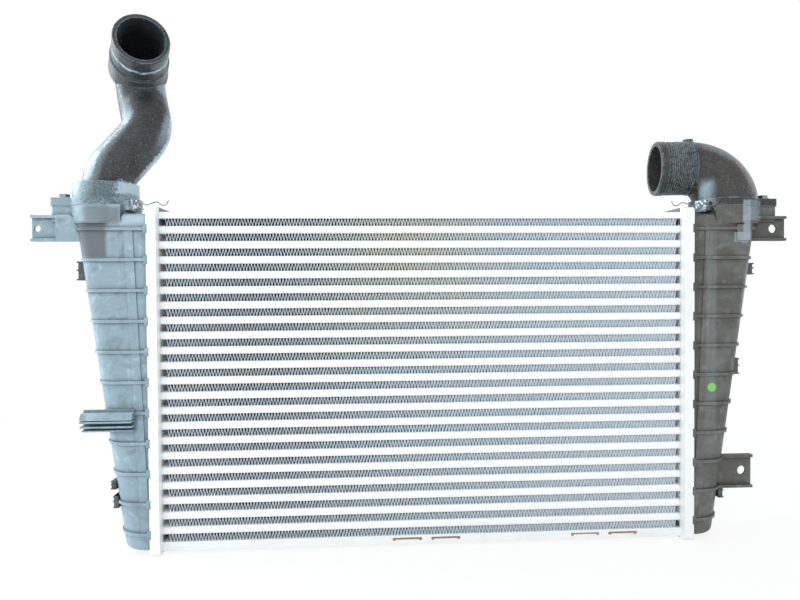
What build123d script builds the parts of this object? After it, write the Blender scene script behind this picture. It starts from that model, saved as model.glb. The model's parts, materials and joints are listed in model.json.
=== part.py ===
"""Charge-air cooler (intercooler): brazed aluminium core between two moulded end tanks.

Frame: millimetres, +Z up. X runs along the tubes from the inlet tank (-X) to the outlet
tank (+X), Y runs through the core from front to back. The origin is the middle of the
core's lower edge: the mid-plane of the core, at the height of the lower side plate's lips.
"""
import os
from math import cos, radians, sin

from build123d import *

# ---- core: flat tubes stacked with folded fin strips between them ----------------------
TUBE_COUNT = 21
TUBE_PITCH = 16.0
TUBE_HEIGHT = 8.4
TUBE_DEPTH = 52.0
TUBE_WALL = 0.7
TUBE_NOSE_R = 3.0
TUBE_STICK_OUT = 2.4          # how far a tube passes through its header plate
FIN_DEPTH = 50.0
FIN_END_GAP = 5.0             # bare tube between the last fold and the header plate
CORE_WIDTH = 564.6            # between the two header plates
BRAZE_GAP = 0.1

# ---- side plates: channels that close the stack above and below ------------------------
SIDE_PLATE_THICK = 1.5
LOWER_LIP_HEIGHT = 9.2
UPPER_LIP_HEIGHT = 6.7
SIDE_PLATE_DEPTH = 52.0
SLOT_LENGTH = 33.0
SLOT_HEIGHT = 2.2
SLOT_CENTRES = (-22.0, 20.0, 217.0)
SLOT_DROP = 3.4               # slot centre below the plate's web

# ---- turbulators: folded strips inside the tubes ---------------------------------------
TURBULATOR_FOLDS = 6
TURBULATOR_SHEET = 0.5
TURBULATOR_GAP = 0.1

# ---- header plates: stamped pans whose rims are crimped over the tanks' feet ------------
HEADER_WALL = 1.8
HEADER_TALL = 10.2            # from the core side to the edge of the crimped rim
HEADER_BELOW = 2.0            # how far the header reaches below the lower lips
HEADER_ABOVE = 5.0            # how far it reaches above the upper lips
HEADER_CORNER_R = 5.5
LEAST_CORNER_R = 1.0
SHEET_RAISE = 1.2             # tube sheet stands proud of the trough, towards the tank
SHEET_MARGIN = 2.5            # from a tube's nose to the edge of the raised sheet
CRIMP_THICK = 1.5
CRIMP_REACH = 1.8
CRIMP_NOTCH = 9.4

# ---- tank gaskets ----------------------------------------------------------------------
GASKET_THICK = 2.0
GASKET_WIDTH = 4.2

# ---- end tanks: one-piece mouldings, wide at the pipe and narrow at the bottom ----------
TANK_SIDE_GAP = 4.5            # from the raised sheet's edge to the tank's outer side
TANK_WALL = 3.0
TANK_FLOOR_LIFT = 4.5         # tank floor above the header's lower end
TANK_ROOF_DROP = 14.5         # tank roof below the header's upper end
NOSE_REACH_LOW = 33.7         # from the header's rim to the tank's outer wall, at its floor
NOSE_REACH_HIGH = 75.5        # and at its roof
NOSE_FLAT_LOW = 2.5           # from the middle to where the outer corners' rounding starts, at the floor
NOSE_R_HIGH = 13.0             # rounding of the two outer corners at the roof
FLOOR_EDGE_R = 5.0
FOOT_LEDGE = 2.0              # the tank's foot stands out from its wall, under the crimp
SHOULDER_DROP = 7.0           # shoulder's top below the header's upper end
SHOULDER_REACH = 29.5         # from the header's rim
SHOULDER_R = 6.0
FIT_GAP = 0.2
TUBES_PER_RIB = 2
RIB_THICK = 3.0
RIB_PROUD = 2.6
RIB_NOSE_PROUD = 1.6          # ribs are lower on the tank's outer wall
RIB_TAB_HEIGHT = 8.6
BAND_WIDTH = 9.0              # upright band that the ribs run into, front and back
BAND_PROUD = 1.0
BAND_REACH_LOW = 5.0          # from the header's rim to the band's middle, at the lowest rib
BAND_REACH_HIGH = 19.0        # and at the highest rib
NECK_REACH = 53.0             # from the header's rim to the axis of the pipe
NECK_R = 36.0
NECK_BORE_R = 31.0
NECK_BLOCK = (-26.0, 5.0)     # square part of the neck, from the pipe's axis
NECK_RISE = 2.0               # top of the neck above the header's upper end

# ---- pipe flanges, ears, screws, clips and seals ----------------------------------------
FLANGE_THICK = 8.5
FLANGE_R = 36.5
EAR_REACH = 39.0              # from the pipe's axis to the screw
EAR_Y = -12.0
EAR_R = 11.0
EAR_ROOT = 6.0                # from the pipe's axis to the ear's inner end
EAR_CORNER_R = 3.0
EAR_INSET = 1.0               # the boss under an ear is this much smaller
BOSS_DEPTH = 17.0
LUG_ANGLE = -150.0            # where the spring clip grips, seen from above on the +X side
LUG_REACH = 43.0
LUG_WIDTH = 17.0
LUG_THICK = 5.0
CLIP_SHEET = 1.2
CLIP_WIDTH = 13.0
CLIP_GRIP = 6.5
CLIP_GAP = 0.1
SCREW_R = 3.0
SCREW_LENGTH = 20.0
SCREW_HEAD_AF = 10.0
SCREW_HEAD_HEIGHT = 4.6
SCREW_WASHER_R = 6.6
SCREW_WASHER_THICK = 1.4
SCREW_HOLE_GAP = 0.15
SCREW_POCKET = 25.0           # room for the screw's head and its socket, cut in the elbow
SCREW_POCKET_GAP = 0.8
STUB_DEPTH = 13.0             # how far a pipe plugs into its neck
STUB_GAP = 0.25
SEAL_THICK = 2.4
SEAL_HEIGHT = 3.0
SEAL_DROP = 5.0
PIPE_WALL = 3.0

# ---- inlet pipe: S-shaped, from the -X tank up and forward ------------------------------
INLET_R = 26.4
INLET_COLLAR_R = 33.5
INLET_COLLAR_HEIGHT = 16.5
INLET_SHIFT = 3.0             # the run starts this far from the neck's axis, towards the core
INLET_RISE = 35.5             # first corner of the run above the neck's top
INLET_MID = (36.0, 22.0, 88.5)        # second corner, from the start of the run
INLET_MOUTH = (46.0, -29.0, 172.5)    # mouth, from the start of the run
INLET_AIM_AZ = 21.5           # mouth turned from straight forward towards +X, degrees
INLET_AIM_EL = 12.0           # and tipped up, degrees
INLET_REACH = 80.0            # mouth back to the last corner of the run
INLET_BENDS = (32.0, 40.0, 34.0)
INLET_LIP_R = 28.0
INLET_BORE_R = 24.0
INLET_HOSE_R = 28.8
INLET_BEAD_R = 30.6
INLET_BEAD_AT = 37.0
INLET_BAND_R = 31.5
INLET_BAND_AT = 64.0
INLET_TAPER = 8.0

# ---- outlet elbow: from the +X tank up and towards the core -----------------------------
OUTLET_R = 29.4
OUTLET_FOOT_R = 36.2          # the elbow widens from its collar to its foot
OUTLET_HINGE = 40.0           # neck axis to the line that the bend turns about
OUTLET_SECTIONS = 6
OUTLET_AXIS_RISE = 47.0       # spigot's axis above the neck's top
OUTLET_TURN = 8.5             # spigot swung back from straight along -X, degrees
OUTLET_REACH = 76.5           # neck axis to the mouth
OUTLET_BAND_R = 30.9
OUTLET_BAND_LENGTH = 9.5
OUTLET_HOSE_R = 29.8
OUTLET_HOSE_LENGTH = 26.5
OUTLET_COLLAR_R = 31.0
OUTLET_COLLAR_LENGTH = 3.0
OUTLET_GROOVE = 1.2
OUTLET_BORE_R = 26.0
OUTLET_FOOT_BORE_R = 28.0
KNOB_R = 5.5
KNOB_PROUD = 1.8

# ---- mounting brackets and peg, on the tanks' outer walls -------------------------------
BRACKET_WALL = 3.0
BRACKET_FRONT_Y = -24.0
BRACKET_BACK_Y = -17.0
BRACKET_TALL = 27.5
BRACKET_OVER_ROOF = 6.5       # top of the inlet bracket above the tank's roof
BRACKET_CUT = (11.0, 9.0)     # cut corner of the inlet bracket's front wall
INLET_BRACKET_REACH = 46.5    # reaches are from the tank's outer wall at its roof
INLET_BRACKET_BOX = (-6.0, 19.5)      # front wall of the inlet bracket
INLET_BRACKET_HOLE = 41.2
INLET_BRACKET_HOLE_R = 3.4
OUTLET_BRACKET_DROP = 1.0     # outlet bracket below the inlet bracket
OUTLET_BRACKET_REACH = 37.0
OUTLET_BRACKET_WEB = (-18.5, -10.5)   # upright web on the tank's front corner
OUTLET_WEB_FOOT = 8.0         # the web's foot reaches further towards the core
OUTLET_WEB_FOOT_TALL = 17.0
OUTLET_BRACKET_HOLE = 23.7
OUTLET_BRACKET_HOLE_R = 4.8
LOW_BRACKET_REACH = 40.8      # from the tank's outer wall at its floor
LOW_BRACKET_Z = 70.0
LOW_BRACKET_TALL = 37.0
LOW_BRACKET_HOLE = 30.3
LOW_BRACKET_HOLE_R = 4.9
PEG_REACH = 32.5              # from the tank's outer wall at its floor
PEG_LENGTH = 52.0
PEG_Z = 141.7
PEG_Y = -34.0
PEG_R = 11.7
PEG_PLATE = 2.5
PEG_BARS = ((5.6, 7.0), (0.2, 1.9), (-5.0, 1.9), (-9.8, 1.9))   # height on the peg, thickness

# ---- inspection mark -------------------------------------------------------------------
MARK_R = 5.0
MARK_THICK = 0.6
MARK_REACH = 21.5             # from the header's rim
MARK_Z = 166.5

# ---- heights and places that follow from the sizes above --------------------------------
FIN_HEIGHT = TUBE_PITCH - TUBE_HEIGHT
FIRST_FIN_Z = LOWER_LIP_HEIGHT + FIN_HEIGHT / 2
FIRST_TUBE_Z = FIRST_FIN_Z + TUBE_PITCH / 2
CORE_TOP_Z = FIRST_FIN_Z + TUBE_COUNT * TUBE_PITCH + FIN_HEIGHT / 2
SHEET_HALF_DEPTH = TUBE_DEPTH / 2 + SHEET_MARGIN
TANK_HALF_DEPTH = SHEET_HALF_DEPTH + TANK_SIDE_GAP
NOSE_R_LOW = TANK_HALF_DEPTH - NOSE_FLAT_LOW
HEADER_HALF_DEPTH = TANK_HALF_DEPTH + FOOT_LEDGE + FIT_GAP + HEADER_WALL
HEADER_BOTTOM = -HEADER_BELOW
HEADER_TOP = CORE_TOP_Z + UPPER_LIP_HEIGHT + HEADER_ABOVE
HEADER_FLOOR_X = CORE_WIDTH / 2
HEADER_RIM_X = HEADER_FLOOR_X + HEADER_TALL
HEADER_SEAT_X = HEADER_FLOOR_X + HEADER_WALL
FOOT_X = HEADER_SEAT_X + GASKET_THICK
FOOT_TOP_X = HEADER_RIM_X - CRIMP_THICK
TUBE_LENGTH = 2 * (HEADER_SEAT_X + SHEET_RAISE + TUBE_STICK_OUT)
FIN_LENGTH = CORE_WIDTH - 2 * FIN_END_GAP
TANK_FLOOR_Z = HEADER_BOTTOM + TANK_FLOOR_LIFT
TANK_ROOF_Z = HEADER_TOP - TANK_ROOF_DROP
SHOULDER_TOP_Z = HEADER_TOP - SHOULDER_DROP
NOSE_X_LOW = HEADER_RIM_X + NOSE_REACH_LOW
NOSE_X_HIGH = HEADER_RIM_X + NOSE_REACH_HIGH
NECK_X = HEADER_RIM_X + NECK_REACH
NECK_TOP_Z = HEADER_TOP + NECK_RISE
EAR_X = NECK_X + EAR_REACH
FLANGE_TOP_Z = NECK_TOP_Z + FLANGE_THICK
OUTLET_AXIS_Z = NECK_TOP_Z + OUTLET_AXIS_RISE
BRACKET_HIGH_Z = TANK_ROOF_Z + BRACKET_OVER_ROOF
BRACKET_ROOT_X = NOSE_X_HIGH - NOSE_R_HIGH
OUTLET_BRACKET_LOW_Z = BRACKET_HIGH_Z - OUTLET_BRACKET_DROP - BRACKET_TALL
RIB_HEIGHTS = [FIRST_TUBE_Z + i * TUBE_PITCH for i in range(0, TUBE_COUNT, TUBES_PER_RIB)]
BAND_Y = TANK_HALF_DEPTH + BAND_PROUD
RIB_Y = TANK_HALF_DEPTH + RIB_PROUD
UPRIGHT = Plane(origin=(0, 0, 0), x_dir=(0, 1, 0), z_dir=(1, 0, 0))


def box(x0, x1, y0, y1, z0, z1):
    """Block between two corners."""
    return Pos((x0 + x1) / 2, (y0 + y1) / 2, (z0 + z1) / 2) * Box(abs(x1 - x0), abs(y1 - y0), abs(z1 - z0))


def post(x, y, z0, z1, radius):
    """Upright cylinder from z0 to z1."""
    return Pos(x, y, (z0 + z1) / 2) * Cylinder(radius, z1 - z0)


def to_inlet_side(shape):
    """Mirror a piece from the outlet end (+X) to the inlet end (-X)."""
    return mirror(shape, about=Plane.YZ)


def both_ends(shape):
    """A small piece of the outlet end together with its twin at the inlet end."""
    return Compound(children=[shape, to_inlet_side(shape)])


# ---- core -------------------------------------------------------------------------------

def tube_z(index):
    return FIRST_TUBE_Z + index * TUBE_PITCH


def flat_tube(length, grow, z):
    """Flat section with rounded edges, swept along X and centred on the core."""
    profile = RectangleRounded(TUBE_DEPTH + 2 * grow, TUBE_HEIGHT + 2 * grow, TUBE_NOSE_R + grow)
    return Pos(-length / 2, 0, z) * extrude(UPRIGHT * profile, amount=length)


def cooling_tube(index):
    z = tube_z(index)
    return flat_tube(TUBE_LENGTH, 0, z) - flat_tube(TUBE_LENGTH + 2, -TUBE_WALL, z)


def fin_strip(index):
    """Envelope of one folded fin strip, brazed between two tubes."""
    z = FIRST_FIN_Z + index * TUBE_PITCH
    return Pos(0, 0, z) * Box(FIN_LENGTH, FIN_DEPTH, FIN_HEIGHT)


def turbulator(index):
    """Zigzag sheet inside a tube; its folds run along the air's path."""
    bore = TUBE_HEIGHT / 2 - TUBE_WALL
    reach = bore - TURBULATOR_GAP
    half = TUBE_DEPTH / 2 - TUBE_HEIGHT / 2
    step = 2 * half / (2 * TURBULATOR_FOLDS)
    crests = [(-half + i * step, reach - TURBULATOR_SHEET if i % 2 else -reach)
              for i in range(2 * TURBULATOR_FOLDS + 1)]
    sheet = crests + [(y, z + TURBULATOR_SHEET) for y, z in reversed(crests)]
    strip = extrude(UPRIGHT * make_face(Polyline(*sheet, close=True)), amount=FIN_LENGTH)
    return Pos(-FIN_LENGTH / 2, 0, tube_z(index)) * strip


def side_plate(web_z, lip_height, up):
    """Channel along the core: a web on the last fin strip and two lips that point away."""
    turn = 1 if up else -1
    half = SIDE_PLATE_DEPTH / 2
    length = CORE_WIDTH / 2
    plate = box(-length, length, -half, half, web_z, web_z + turn * SIDE_PLATE_THICK)
    for y in (-half, half - SIDE_PLATE_THICK):
        plate += box(-length, length, y, y + SIDE_PLATE_THICK, web_z, web_z + turn * lip_height)
    return plate


def lower_side_plate():
    plate = side_plate(LOWER_LIP_HEIGHT, LOWER_LIP_HEIGHT, up=False)
    z = LOWER_LIP_HEIGHT - SLOT_DROP
    for x in SLOT_CENTRES:
        half = SLOT_LENGTH / 2
        plate -= box(x - half, x + half, -SIDE_PLATE_DEPTH, -SIDE_PLATE_DEPTH / 2 + SIDE_PLATE_THICK,
                     z - SLOT_HEIGHT / 2, z + SLOT_HEIGHT / 2)
    return plate


# ---- header plates ----------------------------------------------------------------------

def pan(x0, x1, inset):
    """Rounded block on the header's outline, pulled in by inset all round."""
    height = HEADER_TOP - HEADER_BOTTOM - 2 * inset
    width = 2 * (HEADER_HALF_DEPTH - inset)
    profile = RectangleRounded(width, height, max(HEADER_CORNER_R - inset, LEAST_CORNER_R))
    return Pos(x0, 0, (HEADER_TOP + HEADER_BOTTOM) / 2) * extrude(UPRIGHT * profile, amount=x1 - x0)


def header_plate():
    """Pan with a raised tube sheet, a slot for each tube and a crimped, notched rim."""
    plate = pan(HEADER_FLOOR_X, HEADER_RIM_X, 0)
    plate -= pan(HEADER_SEAT_X, FOOT_TOP_X, HEADER_WALL)
    plate -= pan(FOOT_TOP_X, HEADER_RIM_X, HEADER_WALL + CRIMP_REACH)
    sheet_low = LOWER_LIP_HEIGHT + FIN_HEIGHT / 2
    sheet_high = CORE_TOP_Z - FIN_HEIGHT / 2
    plate += box(HEADER_SEAT_X, HEADER_SEAT_X + SHEET_RAISE, -SHEET_HALF_DEPTH, SHEET_HALF_DEPTH,
                 sheet_low, sheet_high)
    inner = SHEET_HALF_DEPTH - HEADER_WALL
    plate -= box(HEADER_FLOOR_X, HEADER_FLOOR_X + SHEET_RAISE, -inner, inner,
                 sheet_low + HEADER_WALL, sheet_high - HEADER_WALL)
    for index in range(TUBE_COUNT):
        slot = flat_tube(TUBE_LENGTH, BRAZE_GAP, tube_z(index))
        plate -= slot
    for z in RIB_HEIGHTS:
        plate -= box(FOOT_TOP_X, HEADER_RIM_X + 1, -HEADER_HALF_DEPTH - 1, HEADER_HALF_DEPTH + 1,
                     z - CRIMP_NOTCH / 2, z + CRIMP_NOTCH / 2)
    return plate


def tank_gasket():
    """Rubber frame in the header's trough, under the tank's foot."""
    outer = HEADER_WALL + FIT_GAP
    return pan(HEADER_SEAT_X, FOOT_X, outer) - pan(HEADER_SEAT_X, FOOT_X, outer + GASKET_WIDTH)


# ---- end tanks --------------------------------------------------------------------------

def between(low, high, z):
    """Value at height z of a size that changes evenly from the tank's floor to its roof."""
    return low + (high - low) * (z - TANK_FLOOR_Z) / (TANK_ROOF_Z - TANK_FLOOR_Z)


def tank_section(z, grow, nose_grow, x_start):
    """Level cut through a tank: square at the foot, rounded at its two outer corners."""
    nose = between(NOSE_X_LOW, NOSE_X_HIGH, z) + nose_grow
    radius = between(NOSE_R_LOW, NOSE_R_HIGH, z) + nose_grow
    outline = Pos((x_start + nose) / 2, 0, z) * Rectangle(nose - x_start, 2 * (TANK_HALF_DEPTH + grow))
    return fillet(outline.vertices().sort_by(Axis.X)[-2:], radius)


def tank_loft(z0, z1, grow, x_start):
    return loft([tank_section(z, grow, grow, x_start) for z in (z0, z1)], ruled=True)


def rib(z):
    """Rib round the tank, with a taller tab that fills the notch in the crimp."""
    x_start = HEADER_RIM_X + 2 * FIT_GAP
    ring = extrude(tank_section(z - RIB_THICK / 2, RIB_PROUD, RIB_NOSE_PROUD, x_start), amount=RIB_THICK)
    tab = box(FOOT_TOP_X, HEADER_RIM_X + RIB_THICK, -RIB_Y, RIB_Y,
              z - RIB_TAB_HEIGHT / 2, z + RIB_TAB_HEIGHT / 2)
    return ring + tab


def band_x(z):
    """Middle of the upright band at height z."""
    share = (z - RIB_HEIGHTS[0]) / (RIB_HEIGHTS[-1] - RIB_HEIGHTS[0])
    return HEADER_RIM_X + BAND_REACH_LOW + (BAND_REACH_HIGH - BAND_REACH_LOW) * share


def upright_band(front):
    """Flat band that joins the ribs; it leans with the tank's taper."""
    half = BAND_WIDTH / 2
    low, high = RIB_HEIGHTS[0], RIB_HEIGHTS[-1]
    corners = [(band_x(low) - half, low), (band_x(low) + half, low),
               (band_x(high) + half, high), (band_x(high) - half, high)]
    y = -BAND_Y if front else TANK_HALF_DEPTH - TANK_WALL / 2
    plane = Plane(origin=(0, y, 0), x_dir=(1, 0, 0), z_dir=(0, -1, 0))
    return extrude(plane * make_face(Polyline(*corners, close=True)), amount=-BAND_PROUD - TANK_WALL / 2)


def shoulder(inset):
    """Taller part of the tank next to the header."""
    half = TANK_HALF_DEPTH - inset
    return box(FOOT_X, HEADER_RIM_X + SHOULDER_REACH - inset, -half, half,
               TANK_ROOF_Z - 3 * TANK_WALL, SHOULDER_TOP_Z - inset)


def neck():
    """Round neck with a square part that runs into the tank's front and back walls."""
    square = box(NECK_X + NECK_BLOCK[0], NECK_X + NECK_BLOCK[1], -TANK_HALF_DEPTH, TANK_HALF_DEPTH,
                 TANK_ROOF_Z - TANK_WALL, NECK_TOP_Z)
    return post(NECK_X, 0, TANK_ROOF_Z - TANK_WALL, NECK_TOP_Z, NECK_R) + square


def ear(z0, z1, inset):
    """Block that runs from the neck out to the screw, between two heights."""
    length = EAR_REACH + EAR_R - EAR_ROOT - inset
    outline = RectangleRounded(length, 2 * (EAR_R - inset), EAR_CORNER_R)
    return Pos(NECK_X + EAR_ROOT + length / 2, EAR_Y, z0) * extrude(outline, amount=z1 - z0)


def lug(z0, z1):
    """Small ledge beside the neck that the spring clip grips."""
    block = box(NECK_R - 6, LUG_REACH, -LUG_WIDTH / 2, LUG_WIDTH / 2, z0, z1)
    return Pos(NECK_X, 0, 0) * Rot(0, 0, LUG_ANGLE) * block


def plain_tank():
    """The moulding that both tanks share: foot, tapered shell, ribs, shoulder, neck, boss, lug."""
    body = tank_loft(TANK_FLOOR_Z, TANK_ROOF_Z, 0, FOOT_X)
    floor_edges = body.faces().sort_by(Axis.Z)[0].edges().filter_by(lambda e: e.center().X > HEADER_RIM_X + 1)
    body = fillet(floor_edges, FLOOR_EDGE_R)
    body += pan(FOOT_X, FOOT_TOP_X - FIT_GAP / 2, HEADER_WALL + FIT_GAP)
    top_block = shoulder(0)
    body += fillet(top_block.edges().filter_by(lambda e: e.center().X > HEADER_RIM_X and
                                               e.center().Z > TANK_ROOF_Z - TANK_WALL), SHOULDER_R)
    for z in RIB_HEIGHTS:
        body += rib(z)
    body += upright_band(front=True) + upright_band(front=False)
    body += neck()
    body += ear(NECK_TOP_Z - BOSS_DEPTH, NECK_TOP_Z, EAR_INSET)
    body += lug(NECK_TOP_Z - LUG_THICK, NECK_TOP_Z)
    return body


def tank_hollows():
    """Air space of a tank: tapered chamber, shoulder, neck bore and the screw's hole."""
    chamber = tank_loft(TANK_FLOOR_Z + TANK_WALL, TANK_ROOF_Z - TANK_WALL, -TANK_WALL, FOOT_X - 1)
    chamber += Pos(-1, 0, 0) * shoulder(TANK_WALL)
    chamber += post(NECK_X, 0, TANK_ROOF_Z - 2 * TANK_WALL, NECK_TOP_Z + 1, NECK_BORE_R)
    screw_hole = post(EAR_X, EAR_Y, NECK_TOP_Z - SCREW_LENGTH + FLANGE_THICK - 1, NECK_TOP_Z + 1,
                      SCREW_R + SCREW_HOLE_GAP)
    return chamber + screw_hole


def bracket_channel(x0, x1, z0, z1, hole_x, hole_r):
    """Open channel: a back plate with a bolt hole between an upper and a lower lip."""
    channel = box(x0, x1, BRACKET_BACK_Y - BRACKET_WALL, BRACKET_BACK_Y, z0, z1)
    channel += box(x0, x1, BRACKET_FRONT_Y, BRACKET_BACK_Y, z1 - BRACKET_WALL, z1)
    channel += box(x0, x1, BRACKET_FRONT_Y, BRACKET_BACK_Y, z0, z0 + BRACKET_WALL)
    bolt = Pos(hole_x, 0, (z0 + z1) / 2) * Rot(90, 0, 0) * Cylinder(hole_r, 4 * TANK_HALF_DEPTH)
    return channel - bolt


def inlet_bracket():
    """Upper bracket of the inlet tank; its root is closed by a front wall with a cut corner."""
    low = BRACKET_HIGH_Z - BRACKET_TALL
    bracket = bracket_channel(BRACKET_ROOT_X, NOSE_X_HIGH + INLET_BRACKET_REACH, low, BRACKET_HIGH_Z,
                              NOSE_X_HIGH + INLET_BRACKET_HOLE, INLET_BRACKET_HOLE_R)
    root_x, box_x = NOSE_X_HIGH + INLET_BRACKET_BOX[0], NOSE_X_HIGH + INLET_BRACKET_BOX[1]
    wall = [(box_x, low), (box_x, BRACKET_HIGH_Z), (root_x + BRACKET_CUT[0], BRACKET_HIGH_Z),
            (root_x, BRACKET_HIGH_Z - BRACKET_CUT[1]), (root_x, low)]
    plane = Plane(origin=(0, BRACKET_FRONT_Y, 0), x_dir=(1, 0, 0), z_dir=(0, -1, 0))
    front = extrude(plane * make_face(Polyline(*wall, close=True)), amount=BRACKET_WALL)
    return bracket + front


def outlet_bracket():
    """Upper bracket of the outlet tank."""
    return bracket_channel(NOSE_X_HIGH + OUTLET_BRACKET_WEB[1], NOSE_X_HIGH + OUTLET_BRACKET_REACH,
                           OUTLET_BRACKET_LOW_Z, OUTLET_BRACKET_LOW_Z + BRACKET_TALL,
                           NOSE_X_HIGH + OUTLET_BRACKET_HOLE, OUTLET_BRACKET_HOLE_R)


def outlet_web():
    """Upright web at the root of the outlet bracket, from its foot up to the ear."""
    inner, outer = NOSE_X_HIGH + OUTLET_BRACKET_WEB[0], NOSE_X_HIGH + OUTLET_BRACKET_WEB[1]
    web = box(inner, outer, -RIB_Y, BRACKET_BACK_Y, OUTLET_BRACKET_LOW_Z, NECK_TOP_Z - EAR_INSET)
    web += box(inner - OUTLET_WEB_FOOT, inner, -RIB_Y, -TANK_HALF_DEPTH + TANK_WALL / 2,
               OUTLET_BRACKET_LOW_Z, OUTLET_BRACKET_LOW_Z + OUTLET_WEB_FOOT_TALL)
    return web


def low_bracket():
    """Lower bracket of the outlet tank, between two ribs."""
    half = LOW_BRACKET_TALL / 2
    return bracket_channel(NOSE_X_LOW - NOSE_R_LOW / 2, NOSE_X_LOW + LOW_BRACKET_REACH, LOW_BRACKET_Z - half,
                           LOW_BRACKET_Z + half, NOSE_X_LOW + LOW_BRACKET_HOLE, LOW_BRACKET_HOLE_R)


def locating_peg():
    """Round peg built of thin bars on an upright plate, level with X."""
    end = NOSE_X_LOW + PEG_REACH
    root = end - PEG_LENGTH
    bars = box(root, end, PEG_Y - PEG_PLATE / 2, PEG_Y + PEG_PLATE / 2, PEG_Z - PEG_R, PEG_Z + PEG_R)
    for height, thick in PEG_BARS:
        z = PEG_Z + height
        bars += box(root, end, PEG_Y - PEG_R, PEG_Y + PEG_R, z - thick / 2, z + thick / 2)
    envelope = Pos((root + end) / 2, PEG_Y, PEG_Z) * Rot(0, 90, 0) * Cylinder(PEG_R, PEG_LENGTH)
    return bars & envelope


def tanks_and_brackets():
    """Both end tanks and the brackets on their walls, by name."""
    plain, hollows = plain_tank(), tank_hollows()
    outlet = plain + outlet_web()
    return {
        "end_tank_inlet": to_inlet_side(plain + locating_peg() - hollows),
        "end_tank_outlet": outlet - hollows,
        "inlet_bracket": to_inlet_side(inlet_bracket() - plain),
        "outlet_bracket": outlet_bracket() - outlet,
        "low_bracket": low_bracket() - plain,
    }


# ---- pipes ------------------------------------------------------------------------------

def flange():
    """Base of a pipe: a disc with an ear for the screw, a lug for the clip and a stub."""
    disc = post(NECK_X, 0, NECK_TOP_Z, FLANGE_TOP_Z, FLANGE_R)
    disc += ear(NECK_TOP_Z, FLANGE_TOP_Z, 0)
    disc += lug(NECK_TOP_Z, NECK_TOP_Z + LUG_THICK)
    disc += post(NECK_X, 0, NECK_TOP_Z - STUB_DEPTH, NECK_TOP_Z, NECK_BORE_R - STUB_GAP)
    seal_z = NECK_TOP_Z - SEAL_DROP
    groove = post(NECK_X, 0, seal_z - SEAL_HEIGHT, seal_z, NECK_BORE_R + 1)
    groove -= post(NECK_X, 0, seal_z - SEAL_HEIGHT, seal_z, NECK_BORE_R - SEAL_THICK)
    hole = post(EAR_X, EAR_Y, NECK_TOP_Z - 1, FLANGE_TOP_Z + 1, SCREW_R + SCREW_HOLE_GAP)
    return disc - groove - hole


def pipe_seal():
    """Square ring between a pipe's stub and the bore of its neck."""
    z1 = NECK_TOP_Z - SEAL_DROP - FIT_GAP / 2
    z0 = z1 - SEAL_HEIGHT + FIT_GAP
    ring = post(NECK_X, 0, z0, z1, NECK_BORE_R - FIT_GAP / 2)
    return ring - post(NECK_X, 0, z0 - 1, z1 + 1, NECK_BORE_R - SEAL_THICK + FIT_GAP / 2)


def aimed(point, direction):
    """Plane at a point whose normal is the given direction."""
    return Plane(origin=point, z_dir=direction)


def turned(profile, point, direction):
    """Solid of revolution: (distance, radius) pairs along an axis from a point."""
    start, end = profile[0][0], profile[-1][0]
    outline = [(start, 0)] + list(profile) + [(end, 0)]
    face = make_face(Polyline(*[(r, d) for d, r in outline], close=True))
    return aimed(point, direction).location * revolve(Plane.XZ * face, axis=Axis.Z)


def inlet_direction():
    az, el = radians(INLET_AIM_AZ), radians(INLET_AIM_EL)
    return Vector(sin(az) * cos(el), -cos(az) * cos(el), sin(el))


def inlet_mouth():
    return Vector(-NECK_X + INLET_SHIFT, 0, NECK_TOP_Z) + Vector(*INLET_MOUTH)


def inlet_run(start_z, back):
    """Centre line of the S-shaped pipe, up to a distance back from its mouth."""
    foot, aim, mouth = Vector(-NECK_X + INLET_SHIFT, 0, NECK_TOP_Z), inlet_direction(), inlet_mouth()
    return FilletPolyline((foot.X, 0, start_z), foot + Vector(0, 0, INLET_RISE), foot + Vector(*INLET_MID),
                          mouth - aim * INLET_REACH, mouth - aim * back, radius=list(INLET_BENDS))


def along(path, radius):
    """Round bar swept along a path."""
    return sweep(aimed(path @ 0, path % 0) * Circle(radius), path=path)


def inlet_pipe():
    """S-shaped pipe with its flange, collar, stub and hose spigot."""
    pipe = to_inlet_side(flange())
    pipe += post(-NECK_X, 0, NECK_TOP_Z, FLANGE_TOP_Z + INLET_COLLAR_HEIGHT, INLET_COLLAR_R)
    pipe += along(inlet_run(FLANGE_TOP_Z, INLET_BEAD_AT / 2), INLET_R)
    spigot = [(0, INLET_LIP_R), (2, INLET_HOSE_R), (INLET_BEAD_AT - 3, INLET_HOSE_R),
              (INLET_BEAD_AT - 1, INLET_BEAD_R), (INLET_BEAD_AT, INLET_BEAD_R),
              (INLET_BEAD_AT + 1, INLET_HOSE_R + 1), (INLET_BAND_AT - 3, INLET_BAND_R),
              (INLET_BAND_AT, INLET_BAND_R), (INLET_BAND_AT + INLET_TAPER, INLET_R - 1)]
    pipe += turned(spigot, inlet_mouth(), -inlet_direction())
    return pipe - along(inlet_run(NECK_TOP_Z - STUB_DEPTH - 1, -1), INLET_BORE_R)


def outlet_direction():
    turn = radians(OUTLET_TURN)
    return Vector(-cos(turn), sin(turn), 0)


def outlet_bend(foot_radius, collar_radius):
    """Tapered quarter bend that turns about a level line beside the neck."""
    aim, sections = outlet_direction(), []
    hinge = Vector(NECK_X, 0, NECK_TOP_Z) + aim * OUTLET_HINGE
    for step in range(OUTLET_SECTIONS + 1):
        share = step / OUTLET_SECTIONS
        turn = radians(90 * share)
        out = Vector(0, 0, 1) * sin(turn) - aim * cos(turn)
        ahead = aim * sin(turn) + Vector(0, 0, 1) * cos(turn)
        distance = OUTLET_HINGE + (OUTLET_AXIS_RISE - OUTLET_HINGE) * share
        radius = foot_radius + (collar_radius - foot_radius) * share
        plane = Plane(origin=hinge + out * distance, x_dir=out, z_dir=ahead)
        sections.append(plane * Circle(radius))
    return loft(sections)


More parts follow.
